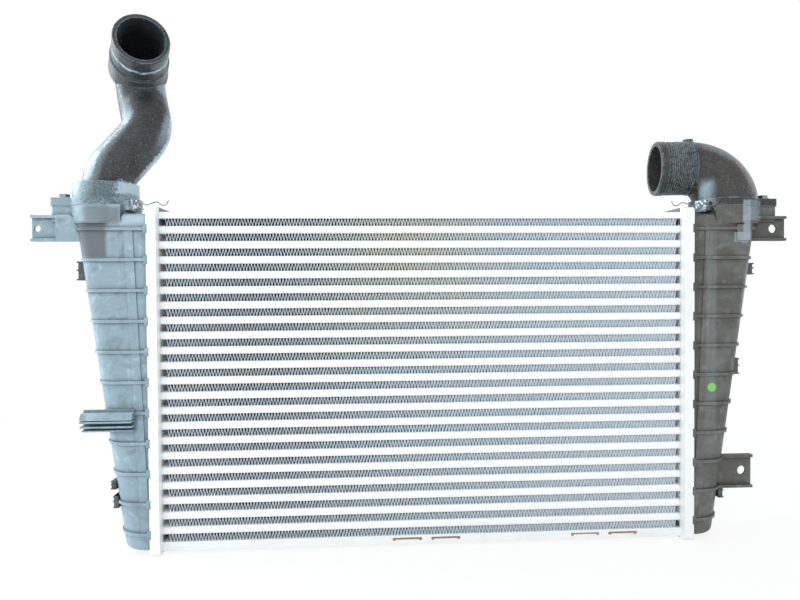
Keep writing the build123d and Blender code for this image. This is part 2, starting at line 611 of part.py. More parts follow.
def outlet_elbow():
    """Elbow with its flange, stub, hose spigot and the knob on its collar."""
    aim = outlet_direction()
    mouth = Vector(NECK_X, 0, OUTLET_AXIS_Z) + aim * OUTLET_REACH
    hose_end = OUTLET_BAND_LENGTH + OUTLET_HOSE_LENGTH
    spigot = [(0, OUTLET_BAND_R - 1), (1.5, OUTLET_BAND_R),
              (OUTLET_BAND_LENGTH - OUTLET_GROOVE, OUTLET_BAND_R),
              (OUTLET_BAND_LENGTH, OUTLET_HOSE_R - 1), (OUTLET_BAND_LENGTH + OUTLET_GROOVE, OUTLET_HOSE_R),
              (hose_end, OUTLET_HOSE_R), (hose_end, OUTLET_COLLAR_R),
              (hose_end + OUTLET_COLLAR_LENGTH, OUTLET_COLLAR_R)]
    elbow = flange() + outlet_bend(OUTLET_FOOT_R, OUTLET_R) + turned(spigot, mouth, -aim)
    knob = mouth - aim * (hose_end + OUTLET_COLLAR_LENGTH / 2)
    knob_z = OUTLET_AXIS_Z + OUTLET_COLLAR_R
    elbow += post(knob.X, knob.Y, knob_z - 2 * PIPE_WALL, knob_z + KNOB_PROUD, KNOB_R)
    elbow -= outlet_bend(OUTLET_FOOT_BORE_R, OUTLET_R - PIPE_WALL)
    elbow -= post(NECK_X, 0, NECK_TOP_Z - STUB_DEPTH - 1, NECK_TOP_Z + 1, OUTLET_FOOT_BORE_R - 0.5)
    elbow -= post(EAR_X, EAR_Y, FLANGE_TOP_Z, FLANGE_TOP_Z + SCREW_POCKET, SCREW_WASHER_R + SCREW_POCKET_GAP)
    bore = [(-1, OUTLET_BORE_R), (OUTLET_REACH - OUTLET_HINGE + 1, OUTLET_BORE_R)]
    return elbow - turned(bore, mouth, -aim)


# ---- fasteners and mark -----------------------------------------------------------------

def flange_screw():
    """Hexagon flange-head screw that holds a pipe's ear down on its boss."""
    shank = post(EAR_X, EAR_Y, FLANGE_TOP_Z - SCREW_LENGTH, FLANGE_TOP_Z, SCREW_R)
    washer = post(EAR_X, EAR_Y, FLANGE_TOP_Z, FLANGE_TOP_Z + SCREW_WASHER_THICK, SCREW_WASHER_R)
    hexagon = Pos(EAR_X, EAR_Y, FLANGE_TOP_Z) * RegularPolygon(SCREW_HEAD_AF / 2, 6, major_radius=False)
    return shank + washer + extrude(hexagon, amount=SCREW_HEAD_HEIGHT)


def spring_clip():
    """Bent steel clip that grips the pipe's lug and the tank's lug together."""
    low = NECK_TOP_Z - LUG_THICK - CLIP_GAP
    high = NECK_TOP_Z + LUG_THICK + CLIP_GAP
    inner = LUG_REACH + CLIP_GAP
    half = CLIP_WIDTH / 2
    web = box(inner, inner + CLIP_SHEET, -half, half, low - CLIP_SHEET, high + CLIP_SHEET)
    legs = box(inner - CLIP_GRIP, inner, -half, half, low - CLIP_SHEET, low)
    legs += box(inner - CLIP_GRIP + 3, inner, -half, half, high, high + CLIP_SHEET)
    return Pos(NECK_X, 0, 0) * Rot(0, 0, LUG_ANGLE) * (web + legs)


def inspection_mark():
    """Painted dot on the front of the outlet tank."""
    disc = Rot(90, 0, 0) * Cylinder(MARK_R, MARK_THICK)
    return Pos(HEADER_RIM_X + MARK_REACH, -TANK_HALF_DEPTH - MARK_THICK / 2, MARK_Z) * disc


def pieces():
    """Every node's name with its solids."""
    header = header_plate()
    nodes = tanks_and_brackets() | {
        "side_plate_lower": lower_side_plate(),
        "side_plate_upper": side_plate(CORE_TOP_Z, UPPER_LIP_HEIGHT, up=True),
        "turbulators": Compound(children=[turbulator(i) for i in range(TUBE_COUNT)]),
        "header_plate_outlet": header,
        "header_plate_inlet": to_inlet_side(header),
        "tank_gaskets": both_ends(tank_gasket()),
        "inlet_pipe": inlet_pipe(),
        "outlet_elbow": outlet_elbow(),
        "pipe_seals": both_ends(pipe_seal()),
        "flange_screws": both_ends(flange_screw()),
        "spring_clips": both_ends(spring_clip()),
        "inspection_mark": inspection_mark(),
    }
    for index in range(TUBE_COUNT):
        nodes[f"cooling_tube_{index + 1:02d}"] = cooling_tube(index)
    for index in range(TUBE_COUNT + 1):
        nodes[f"fin_strip_{index + 1:02d}"] = fin_strip(index)
    return nodes


def main():
    os.makedirs("parts", exist_ok=True)
    for name, shape in pieces().items():
        export_step(shape, f"parts/{name}.step")


if __name__ == "__main__":
    main()
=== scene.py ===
"""Finish of an air-to-air intercooler: folded fins, brazed metal, moulded plastic and the stage."""

import json
import math

import bmesh
import bpy
from bpy.props import FloatProperty, FloatVectorProperty, IntProperty, PointerProperty
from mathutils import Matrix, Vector


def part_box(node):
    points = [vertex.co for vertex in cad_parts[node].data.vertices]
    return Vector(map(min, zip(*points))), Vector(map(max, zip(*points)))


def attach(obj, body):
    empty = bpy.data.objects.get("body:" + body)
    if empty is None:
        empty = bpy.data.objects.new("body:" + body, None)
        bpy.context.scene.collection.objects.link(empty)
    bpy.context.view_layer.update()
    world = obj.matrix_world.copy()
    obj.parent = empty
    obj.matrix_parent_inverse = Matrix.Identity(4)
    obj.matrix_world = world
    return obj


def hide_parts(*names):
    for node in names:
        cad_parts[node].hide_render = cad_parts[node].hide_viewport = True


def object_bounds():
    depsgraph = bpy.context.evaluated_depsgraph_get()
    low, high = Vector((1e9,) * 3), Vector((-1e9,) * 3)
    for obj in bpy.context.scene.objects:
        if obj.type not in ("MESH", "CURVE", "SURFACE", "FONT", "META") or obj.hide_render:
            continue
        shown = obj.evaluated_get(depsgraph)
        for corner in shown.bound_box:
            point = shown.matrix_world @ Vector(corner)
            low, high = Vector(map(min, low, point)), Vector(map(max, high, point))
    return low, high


bl_info = {
    "name": "Intercooler finish",
    "version": (1, 0, 0),
    "blender": (4, 5, 0),
    "location": "View3D > Sidebar > Intercooler",
    "description": "Builds the fins, finishes and stage of an intercooler around its solid model",
    "category": "Object",
}

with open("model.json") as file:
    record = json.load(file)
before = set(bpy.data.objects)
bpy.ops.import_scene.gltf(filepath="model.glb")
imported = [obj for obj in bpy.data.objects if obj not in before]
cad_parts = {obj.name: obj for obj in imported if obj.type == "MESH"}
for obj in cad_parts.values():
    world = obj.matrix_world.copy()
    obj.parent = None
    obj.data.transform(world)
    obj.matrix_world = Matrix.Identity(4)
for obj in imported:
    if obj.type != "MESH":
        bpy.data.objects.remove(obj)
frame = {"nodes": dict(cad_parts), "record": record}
CAD_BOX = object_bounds()
NODES = frame["nodes"]
BODY = "root"
TUBES = sorted(name for name in NODES if name.startswith("cooling_tube"))
FIN_STRIPS = sorted(name for name in NODES if name.startswith("fin_strip"))


# ---- sizes and colours a user would change ------------------------------------------------

def colour(name, text, default):
    """A colour property, with its default in sRGB as it looks on screen."""
    return FloatVectorProperty(name=name, description=text, subtype="COLOR", size=3, min=0.0, max=1.0,
                               default=tuple(to_linear(value / 255) for value in default))


def metres(name, text, default):
    """A length property."""
    return FloatProperty(name=name, description=text, default=default, unit="LENGTH")


def watts(name, text, default):
    """A lamp's power."""
    return FloatProperty(name=name, description=text, default=default, unit="POWER")


def to_linear(value):
    """One sRGB channel as linear light."""
    return value / 12.92 if value <= 0.04045 else ((value + 0.055) / 1.055) ** 2.4


class FinSizes(bpy.types.PropertyGroup):
    """Folded fin strips between the tubes."""
    folds: IntProperty(name="Folds", description="Legs of the zigzag in one strip", default=334, min=20)
    sheet: metres("Sheet", "Thickness of one leg", 0.00045)
    sway: metres("Sway", "Sideways wave of a leg through the core", 0.0011)
    slack: metres("Slack", "Uneven spacing of the folds", 0.00016)
    recess: metres("Recess", "How far bent folds lie behind the face", 0.0007)
    seed: IntProperty(name="Seed", description="Fixes the uneven folds", default=7)


class MetalColours(bpy.types.PropertyGroup):
    """Aluminium and plated steel."""
    tube: colour("Tubes", "Brazed flat tubes", (250, 251, 251))
    header: colour("Headers", "Header and side plates", (247, 249, 249))
    # flux_and_shade: dull flux in the metal's streaks and clouds, and painted shade on the headers' faces
    # toward the fins
    flux_and_shade: colour("Flux", "Dull residue in the corners", (112, 126, 134))
    fin: colour("Fins", "Folded foil", (226, 234, 240))
    fin_stain: colour("Fin stain", "Greyish patch on the foil", (228, 228, 214))
    # fin_depth_shade: painted shade deep in the core and on the foil's downward faces, and the colour of its
    # clouds
    fin_depth_shade: colour("Fin depth", "Foil deep in the core", (204, 220, 230))
    steel: colour("Steel", "Zinc-plated screws and clips", (150, 158, 164))


class PlasticColours(bpy.types.PropertyGroup):
    """Moulded tanks and pipes."""
    # inlet_tank_lit: the tanks' black plastic painted pale blue-grey, a lit copy standing in for light from
    # the left and sheen
    inlet_tank_lit: colour("Inlet tank", "Plastic of the inlet tank", (139, 161, 172))
    inlet_shade: colour("Inlet shade", "Darker clouds on the inlet tank", (122, 141, 152))
    # bare_and_shade: painted shade in two dark patches near the inlet bracket, and the real colour of the
    # edge lugs
    bare_and_shade: colour("Bare plastic", "Dull patches near the inlet bracket, and the edge lugs", (92, 98, 100))
    # outlet_tank_shaded: the same black plastic painted mid grey, a copy in less light than the inlet tank
    outlet_tank_shaded: colour("Outlet tank", "Plastic of the outlet tank", (97, 99, 97))
    outlet_shade: colour("Outlet shade", "Darker clouds on the outlet tank", (76, 75, 71))
    # outlet_light: a lighter upright band down the outlet tank
    outlet_light: colour("Outlet light", "Rubbed band down the outlet tank", (124, 129, 129))
    pipe: colour("Inlet pipe", "Plastic of the S-shaped pipe", (56, 60, 64))
    pipe_dark: colour("Pipe dark", "Pits and dark clouds of the pipes", (26, 30, 34))
    elbow: colour("Elbow", "Plastic of the outlet elbow", (62, 61, 58))
    # slab_light: painted light on an upright face beside the outlet bracket
    slab_light: colour("Slab", "Pale upright face beside the outlet bracket", (146, 160, 172))
    # insert: dark brown bars of painted shade inside the lower plate's slots
    insert: colour("Inserts", "Brown edges in the lower plate's slots", (156, 122, 92))
    # grazing_highlight: painted highlights and rims on the plastics, and the pipes' sheen tint
    grazing_highlight: colour("Bloom", "Pale film where light grazes the plastic", (178, 200, 212))
    lug_dark: colour("Lug clouds", "Dark clouds on the edge lugs", (17, 21, 24))
    rubber: colour("Rubber", "Seals and gaskets", (28, 29, 30))
    mark: colour("Mark", "Painted dot", (128, 196, 96))


class HoseSizes(bpy.types.PropertyGroup):
    """Fine grooves on the elbow's hose seat."""
    ridges: IntProperty(name="Ridges", description="Fine ridges round the hose seat", default=12, min=2)
    start: metres("Start", "First ridge behind the end band's middle", 0.0070)
    pitch: metres("Pitch", "From ridge to ridge", 0.0021)
    radius: metres("Radius", "Radius of the hose seat", 0.0298)
    height: metres("Height", "How far a ridge stands proud", 0.0006)
    width: metres("Width", "Width of a ridge along the seat", 0.0011)


class StageSizes(bpy.types.PropertyGroup):
    """Floor, lamps and camera."""
    world: FloatProperty(name="Sky", description="Strength of the even light", default=0.82)
    key: watts("Key", "Power of the large front lamp", 13.7)
    fill: watts("Fill", "Power of the left lamp", 10.0)
    rim: watts("Rim", "Power of the upright lamp left of the part", 30.0)
    eye: FloatVectorProperty(name="Eye", description="Place of the camera", subtype="XYZ", unit="LENGTH",
                             default=(-0.0682, -0.7146, 0.2780))
    turn: FloatVectorProperty(name="Turn", description="Turn of the camera", subtype="EULER", unit="ROTATION",
                              default=tuple(math.radians(a) for a in (88.9118, 0.3670, -3.3176)))
    lens: FloatProperty(name="Lens", description="Focal length on a 36 mm wide sensor", default=28.8)


class IntercoolerSettings(bpy.types.PropertyGroup):
    """All settings of the intercooler."""
    fins: PointerProperty(type=FinSizes)
    metals: PointerProperty(type=MetalColours)
    plastics: PointerProperty(type=PlasticColours)
    hose: PointerProperty(type=HoseSizes)
    stage: PointerProperty(type=StageSizes)


def settings():
    """The scene's settings for this part."""
    return bpy.context.scene.intercooler


# ---- helpers for node trees ---------------------------------------------------------------

FLOAT, VECTOR = "NodeSocketFloat", "NodeSocketVector"


def add(tree, kind, inputs=None, **values):
    """New node with its plain settings and input values; an input given as a socket is linked."""
    node = tree.nodes.new(kind)
    for name, value in values.items():
        setattr(node, name, value)
    for key, value in (inputs or {}).items():
        if isinstance(value, bpy.types.NodeSocket):
            tree.links.new(value, node.inputs[key])
        else:
            node.inputs[key].default_value = value
    return node


def maths(tree, operation, *values):
    """One maths node; each value is a socket or a number."""
    return add(tree, "ShaderNodeMath", dict(enumerate(values)), operation=operation).outputs[0]


def vectors(tree, operation, *values):
    """Vector maths; a dot product or a length comes back as a number."""
    node = add(tree, "ShaderNodeVectorMath", dict(enumerate(values)), operation=operation)
    return node.outputs["Value" if operation in ("DOT_PRODUCT", "LENGTH") else "Vector"]


def combined(tree, **axes):
    """A vector from its parts; parts left out are zero."""
    return add(tree, "ShaderNodeCombineXYZ", axes).outputs[0]


def axes_of(tree, vector):
    """The three parts of a vector, by name."""
    return add(tree, "ShaderNodeSeparateXYZ", {"Vector": vector}).outputs


def noise(tree, where, scale, detail, **more):
    """Smooth noise around 0.5."""
    inputs = {"Vector": where, "Scale": scale, "Detail": detail, **more}
    return add(tree, "ShaderNodeTexNoise", inputs).outputs["Fac"]


def mix_colours(tree, factor, first, second):
    """Mixes two colours; sockets are linked and plain colours are set."""
    node = add(tree, "ShaderNodeMix", data_type="RGBA")
    sockets = [s for s in node.inputs if s.enabled]
    for socket, value in zip(sockets, (factor, first, second)):
        if isinstance(value, bpy.types.NodeSocket):
            tree.links.new(value, socket)
        elif hasattr(value, "__len__"):
            socket.default_value = (*value[:3], 1.0)
        else:
            socket.default_value = value
    return next(s for s in node.outputs if s.enabled)


def layered(tree, mask, strength, under, over):
    """Lays one colour over another where the mask is, at the given strength."""
    return mix_colours(tree, maths(tree, "MULTIPLY", mask, strength), under, over)


def scaled(shade, factor, lift=0.0):
    """A lighter or darker shade of a colour."""
    return tuple(min(1.0, channel * factor + lift) for channel in shade[:3])


def ramp(tree, value, low, high):
    """0 below low, 1 above high, smooth between."""
    return add(tree, "ShaderNodeMapRange", {"Value": value, "From Min": low, "From Max": high},
               interpolation_type="SMOOTHSTEP").outputs["Result"]


def new_group(name, kind, inputs, outputs):
    """Node group with named sockets; each input is (name, type, default)."""
    group = bpy.data.node_groups.new(name, kind)
    for label, socket_type, default in inputs:
        socket = group.interface.new_socket(label, in_out="INPUT", socket_type=socket_type)
        if default is not None:
            socket.default_value = default
    for label, socket_type in outputs:
        group.interface.new_socket(label, in_out="OUTPUT", socket_type=socket_type)
    return group, group.nodes.new("NodeGroupInput"), group.nodes.new("NodeGroupOutput")


def place(material, group, **inputs):
    """Puts a shader group into a material, fed with Object coordinates."""
    tree = material.node_tree
    node = tree.nodes.new("ShaderNodeGroup")
    node.node_tree = group
    tree.links.new(coordinates(material), node.inputs["Place"])
    for name, value in inputs.items():
        node.inputs[name.replace("_", " ")].default_value = value
    return node


def coordinates(material):
    """Object coordinates, from one node that the whole material shares."""
    tree = material.node_tree
    found = [n for n in tree.nodes if n.bl_idname == "ShaderNodeTexCoord"]
    node = found[0] if found else tree.nodes.new("ShaderNodeTexCoord")
    return node.outputs["Object"]


# ---- shader groups shared by the finishes ---------------------------------------------------

def grain_group():
    """Fine moulded or rolled grain: a height for a bump, and a speckle mask."""
    group, inside, out = new_group(
        "surface_grain", "ShaderNodeTree",
        [("Place", VECTOR, None), ("Scale", FLOAT, 900.0),
         ("Stretch", VECTOR, (1.0, 1.0, 1.0)), ("Roughness", FLOAT, 0.6)],
        [("Height", FLOAT), ("Speckle", FLOAT)])
    value = inside.outputs
    stretched = vectors(group, "MULTIPLY", value["Place"], value["Stretch"])
    height = noise(group, stretched, value["Scale"], 4.0, Roughness=value["Roughness"])
    group.links.new(height, out.inputs["Height"])
    group.links.new(ramp(group, height, 0.56, 0.72), out.inputs["Speckle"])
    return group


def cloud_group():
    """Soft clouds of wear, dust or heat, from 0 to 1."""
    group, inside, out = new_group(
        "soft_clouds", "ShaderNodeTree",
        [("Place", VECTOR, None), ("Scale", FLOAT, 14.0),
         ("Low", FLOAT, 0.4), ("High", FLOAT, 0.65),
         ("Detail", FLOAT, 5.0)],
        [("Mask", FLOAT)])
    value = inside.outputs
    cloud = noise(group, value["Place"], value["Scale"], value["Detail"], Distortion=0.6)
    group.links.new(ramp(group, cloud, value["Low"], value["High"]), out.inputs["Mask"])
    return group


def patch_group():
    """Box-shaped area with soft, ragged edges: 1 inside, 0 outside."""
    group, inside, out = new_group(
        "soft_patch", "ShaderNodeTree",
        [("Place", VECTOR, None), ("Centre", VECTOR, (0.0, 0.0, 0.0)),
         ("Half Size", VECTOR, (1.0, 1.0, 1.0)), ("Edge", FLOAT, 0.2),
         ("Ragged", FLOAT, 0.3), ("Scale", FLOAT, 120.0)],
        [("Mask", FLOAT)])
    value = inside.outputs
    offset = vectors(group, "SUBTRACT", value["Place"], value["Centre"])
    spread = vectors(group, "ABSOLUTE", vectors(group, "DIVIDE", offset, value["Half Size"]))
    axes = axes_of(group, spread)
    furthest = maths(group, "MAXIMUM", maths(group, "MAXIMUM", axes["X"], axes["Y"]), axes["Z"])
    rough = noise(group, value["Place"], value["Scale"], 4.0)
    torn = maths(group, "MULTIPLY", maths(group, "SUBTRACT", rough, 0.5), value["Ragged"])
    beyond = ramp(group, maths(group, "ADD", furthest, torn),
                  maths(group, "SUBTRACT", 1.0, value["Edge"]), maths(group, "ADD", 1.0, value["Edge"]))
    group.links.new(maths(group, "SUBTRACT", 1.0, beyond), out.inputs["Mask"])
    return group


def wear_group():
    """Bright worn edges, found by how far a rounded normal leans from the flat one."""
    group, inside, out = new_group(
        "edge_wear", "ShaderNodeTree",
        [("Place", VECTOR, None), ("Radius", FLOAT, 0.0012),
         ("Patch Scale", FLOAT, 120.0)],
        [("Mask", FLOAT)])
    value = inside.outputs
    bevel = add(group, "ShaderNodeBevel", {"Radius": value["Radius"]}, samples=4)
    flat = group.nodes.new("ShaderNodeNewGeometry")
    lean = vectors(group, "DOT_PRODUCT", bevel.outputs[0], flat.outputs["Normal"])
    edge = ramp(group, maths(group, "SUBTRACT", 1.0, lean), 0.02, 0.16)
    patches = ramp(group, noise(group, value["Place"], value["Patch Scale"], 3.0), 0.32, 0.6)
    group.links.new(maths(group, "MULTIPLY", edge, patches), out.inputs["Mask"])
    return group


def side_group():
    """Faces that look one way, whatever the eye sees: 1 towards the direction, 0 beside it."""
    group, inside, out = new_group(
        "side_highlight_mask", "ShaderNodeTree",
        [("Place", VECTOR, None), ("Direction", VECTOR, (0.0, 0.0, 1.0)),
         ("Low", FLOAT, 0.6), ("High", FLOAT, 0.85)],
        [("Mask", FLOAT)])
    value = inside.outputs
    normal = group.nodes.new("ShaderNodeNewGeometry").outputs["Normal"]
    facing = vectors(group, "DOT_PRODUCT", normal, vectors(group, "NORMALIZE", value["Direction"]))
    rough = maths(group, "SUBTRACT", noise(group, value["Place"], 420.0, 3.0), 0.5)
    torn = maths(group, "MULTIPLY_ADD", rough, 0.12, facing)
    group.links.new(ramp(group, torn, value["Low"], value["High"]), out.inputs["Mask"])
    return group


def ring_group():
    """Thin ragged ring where a flat plane cuts the surface: 1 on the ring, 0 off it."""
    group, inside, out = new_group(
        "ring_mark", "ShaderNodeTree",
        [("Place", VECTOR, None), ("Centre", VECTOR, (0.0, 0.0, 0.0)),
         ("Aim", VECTOR, (0.0, 0.0, 1.0)), ("Width", FLOAT, 0.0006),
         ("Reach", FLOAT, 0.078), ("Inner", FLOAT, 0.0275)],
        [("Mask", FLOAT)])
    value = inside.outputs
    away = vectors(group, "SUBTRACT", value["Place"], value["Centre"])
    along = vectors(group, "DOT_PRODUCT", away, value["Aim"])
    near = maths(group, "DIVIDE", maths(group, "ABSOLUTE", along), value["Width"])
    broken = ramp(group, noise(group, value["Place"], 130.0, 4.0), 0.40, 0.56)
    band = maths(group, "SUBTRACT", 1.0, ramp(group, near, 0.5, 1.0))
    radius = vectors(group, "LENGTH", vectors(group, "CROSS_PRODUCT", away, value["Aim"]))
    outside = maths(group, "GREATER_THAN", radius, value["Inner"])
    within = maths(group, "LESS_THAN", vectors(group, "LENGTH", away), value["Reach"])
    group.links.new(maths(group, "MULTIPLY", maths(group, "MULTIPLY", band, broken),
                          maths(group, "MULTIPLY", within, outside)), out.inputs["Mask"])
    return group


def shared(name, build):
    """A shader group that is built once and found again by name."""
    return bpy.data.node_groups.get(name) or build()


def grain(material, **inputs):
    """The group's node, with its Height and Speckle."""
    return place(material, shared("surface_grain", grain_group), **inputs)


def clouds(material, **inputs):
    """Mask of the soft clouds."""
    return place(material, shared("soft_clouds", cloud_group), **inputs).outputs["Mask"]


def worn_edges(material, **inputs):
    """Mask of the worn edges."""
    return place(material, shared("edge_wear", wear_group), **inputs).outputs["Mask"]


# ---- materials ------------------------------------------------------------------------------

FLUX_SHADE_STEP_X, FLUX_SHADE_STEP_Y = 0.0004, 0.001     # the header's dull side, painted shade in the flux colour, starts this far from its faces
FOIL_FADE = (0.0004, 0.0060)                 # depth behind the core's face over which painted shade darkens the foil
CORNER_SHADE_REACH = 0.007                           # corners narrower than this get painted shade


def new_material(name):
    """Empty material with its Principled node wired up."""
    material = bpy.data.materials.new(name)
    material.use_nodes = True
    tree = material.node_tree
    tree.nodes.clear()
    surface = tree.nodes.new("ShaderNodeBsdfPrincipled")
    result = tree.nodes.new("ShaderNodeOutputMaterial")
    tree.links.new(surface.outputs[0], result.inputs["Surface"])
    return material, tree, surface


def bump(tree, height, strength, distance, normal=None):
    """Bumped normal, on top of another one where that is given."""
    node = add(tree, "ShaderNodeBump", {"Height": height, "Strength": strength, "Distance": distance})
    if normal:
        tree.links.new(normal, node.inputs["Normal"])
    return node.outputs["Normal"]


def cloudy_roughness(tree, surface, mask, spread, least):
    """Roughness that grows from its least value where the mask is."""
    tree.links.new(maths(tree, "MULTIPLY_ADD", mask, spread, least), surface.inputs["Roughness"])


def repaint(material, layers):
    """Lays colours over a finished material; each layer is (mask, strength, colour)."""
    tree = material.node_tree
    surface = next(n for n in tree.nodes if n.bl_idname == "ShaderNodeBsdfPrincipled")
    painted = surface.inputs["Base Color"].links[0].from_socket
    for mask, strength, shade in layers:
        painted = layered(tree, mask, strength, painted, shade)
    tree.links.new(painted, surface.inputs["Base Color"])


def brazed_aluminium(name, base, flux_and_shade):
    """Bright rolled aluminium with faint streaks along X and dull flux clouds."""
    material, tree, surface = new_material(name)
    rolled = grain(material, Scale=420.0, Stretch=(0.06, 1.0, 1.0)).outputs["Height"]
    cloud = clouds(material, Scale=26.0, Low=0.5, High=0.78)
    streaked = layered(tree, rolled, 0.10, base, flux_and_shade)
    tree.links.new(layered(tree, cloud, 0.10, streaked, flux_and_shade), surface.inputs["Base Color"])
    surface.inputs["Metallic"].default_value = 0.15
    cloudy_roughness(tree, surface, cloud, 0.12, 0.45)
    tree.links.new(bump(tree, rolled, 0.25, 0.0002), surface.inputs["Normal"])
    return material


def header_metal(name, base, flux_and_shade):
    """Stamped header: bright outside; on the side that faces the fins, painted shade in the dull flux colour.
    """
    material = brazed_aluminium(name, base, flux_and_shade)
    tree = material.node_tree
    axes = axes_of(tree, coordinates(material))
    inner_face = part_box("header_plate_outlet")[0].x + FLUX_SHADE_STEP_X
    tube_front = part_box(TUBES[0])[1].y - FLUX_SHADE_STEP_Y
    # painted shade: the header's face toward the fins, between the tubes, takes the flux colour in full
    facing = maths(tree, "MULTIPLY", maths(tree, "LESS_THAN", maths(tree, "ABSOLUTE", axes["X"]), inner_face),
                   maths(tree, "LESS_THAN", maths(tree, "ABSOLUTE", axes["Y"]), tube_front))
    repaint(material, [(facing, 1.0, flux_and_shade)])
    return material


def fin_foil(name, base, deep):
    """Thin folded foil, paler on its outer edges, with painted shade: bluish deep in the core and darker on
    faces that look down.
    """
    material, tree, surface = new_material(name)
    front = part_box(FIN_STRIPS[0])[0].y
    depth = maths(tree, "ABSOLUTE", axes_of(tree, coordinates(material))["Y"])
    # painted shade: the foil grows bluer and darker deeper in the core
    inside = ramp(tree, maths(tree, "SUBTRACT", -front, depth), *FOIL_FADE)
    uneven = layered(tree, clouds(material, Scale=160.0, Low=0.35, High=0.7, Detail=3.0), 0.25, base, deep)
    # painted shade: faces that look down are darker
    facing = axes_of(tree, tree.nodes.new("ShaderNodeNewGeometry").outputs["Normal"])["Z"]
    under = maths(tree, "SUBTRACT", 1.0, ramp(tree, facing, -0.14, 0.06))
    shaded = layered(tree, under, 0.8, uneven, deep)
    tree.links.new(layered(tree, inside, 0.6, shaded, deep), surface.inputs["Base Color"])
    surface.inputs["Specular IOR Level"].default_value = 0.15
    surface.inputs["Roughness"].default_value = 0.6
    return material


def moulded_plastic(name, base, shade, cloud_scale=9.0, cloud_range=(0.5, 0.75)):
    """Glass-filled moulding: fine grain, soft clouds, pale rubbed edges and painted shade in the corners."""
    material, tree, surface = new_material(name)
    fine = grain(material, Scale=700.0)
    cloud = clouds(material, Scale=cloud_scale, Low=cloud_range[0], High=cloud_range[1])
    pale, stain, corner_shade_colour = scaled(base, 1.5, 0.06), scaled(shade, 0.55), scaled(base, 0.35)
    painted = layered(tree, cloud, 0.6, base, shade)
    painted = layered(tree, fine.outputs["Speckle"], 0.22, painted, shade)
    dust = clouds(material, Scale=95.0, Low=0.50, High=0.74, Detail=5.0)
    painted = layered(tree, dust, 0.45, painted, pale)
    dull = clouds(material, Scale=61.0, Low=0.52, High=0.70, Detail=5.0)
    painted = layered(tree, dull, 0.4, painted, stain)
    painted = layered(tree, worn_edges(material), 0.55, painted, pale)
    # painted shade: ambient occlusion darkens corners, such as under the ribs
    corners = add(tree, "ShaderNodeAmbientOcclusion", {"Distance": CORNER_SHADE_REACH}, samples=6)
    corner_shade = maths(tree, "SUBTRACT", 1.0, ramp(tree, corners.outputs["AO"], 0.45, 0.95))
    tree.links.new(layered(tree, corner_shade, 0.75, painted, corner_shade_colour), surface.inputs["Base Color"])
    cloudy_roughness(tree, surface, cloud, 0.15, 0.5)
    tree.links.new(bump(tree, fine.outputs["Height"], 0.35, 0.00025), surface.inputs["Normal"])
    return material


def glossy_pipe_plastic(name, base, dark, light, sheen):
    """Glossy crinkled plastic, finely speckled, with a dusty film that shows where light grazes it."""
    material, tree, surface = new_material(name)
    crinkle = grain(material, Scale=520.0, Roughness=0.75)
    waves = grain(material, Scale=60.0, Roughness=0.45)
    cloud = clouds(material, Scale=26.0, Low=0.42, High=0.66, Detail=3.0)
    pits = maths(tree, "SUBTRACT", 1.0, ramp(tree, crinkle.outputs["Height"], 0.36, 0.5))
    painted = layered(tree, cloud, 0.55, base, dark)
    painted = layered(tree, pits, 0.6, painted, dark)
    painted = layered(tree, crinkle.outputs["Speckle"], 0.28, painted, light)
    painted = layered(tree, worn_edges(material, Radius=0.0016, Patch_Scale=260.0), 0.6, painted, light)
    tree.links.new(painted, surface.inputs["Base Color"])
    surface.inputs["Specular IOR Level"].default_value = 0.35
    surface.inputs["Sheen Weight"].default_value = sheen
    surface.inputs["Sheen Roughness"].default_value = 0.2
    surface.inputs["Sheen Tint"].default_value = (*light[:3], 1.0)
    cloudy_roughness(tree, surface, cloud, 0.15, 0.3)
    soft = bump(tree, waves.outputs["Height"], 0.5, 0.003)
    tree.links.new(bump(tree, crinkle.outputs["Height"], 0.6, 0.0006, soft), surface.inputs["Normal"])
    return material


def plated_steel(name, base):
    """Zinc plating: bright, a little cloudy."""
    material, tree, surface = new_material(name)
    cloud = clouds(material, Scale=340.0, Low=0.42, High=0.58)
    tree.links.new(layered(tree, cloud, 0.8, base, scaled(base, 0.22)), surface.inputs["Base Color"])
    surface.inputs["Metallic"].default_value = 0.9
    cloudy_roughness(tree, surface, cloud, 0.2, 0.25)
    return material


def rubber(name, base):
    """Dull rubber with a fine lighter grain."""
    material, tree, surface = new_material(name)
    fine = grain(material, Scale=500.0)
    lighter = scaled(base, 1.6, 0.01)
    tree.links.new(mix_colours(tree, fine.outputs["Speckle"], base, lighter), surface.inputs["Base Color"])
    surface.inputs["Roughness"].default_value = 0.7
    tree.links.new(bump(tree, fine.outputs["Height"], 0.3, 0.0002), surface.inputs["Normal"])
    return material


def painted_dot(name, base):
    """Thin paint, uneven where it was dabbed on."""
    material, tree, surface = new_material(name)
    cloud = clouds(material, Scale=420.0, Low=0.4, High=0.7)
    tree.links.new(mix_colours(tree, cloud, base, scaled(base, 0.75, 0.08)), surface.inputs["Base Color"])
    surface.inputs["Roughness"].default_value = 0.35
    tree.links.new(bump(tree, cloud, 0.3, 0.0002), surface.inputs["Normal"])
    return material


def patch_mask(material, centre, half_size, **inputs):
    """Mask of one soft box-shaped area, in metres."""
    return place(material, shared("soft_patch", patch_group), Centre=centre, Half_Size=half_size,
                 **inputs).outputs["Mask"]


def tint(material, *patches):
    """Lays tinted areas over a material: (centre, half size, colour, strength, edge, ragged, scale)."""
    repaint(material, [(patch_mask(material, centre, half_size, Edge=edge, Ragged=ragged, Scale=scale),
                        strength, shade)
                       for centre, half_size, shade, strength, edge, ragged, scale in patches])


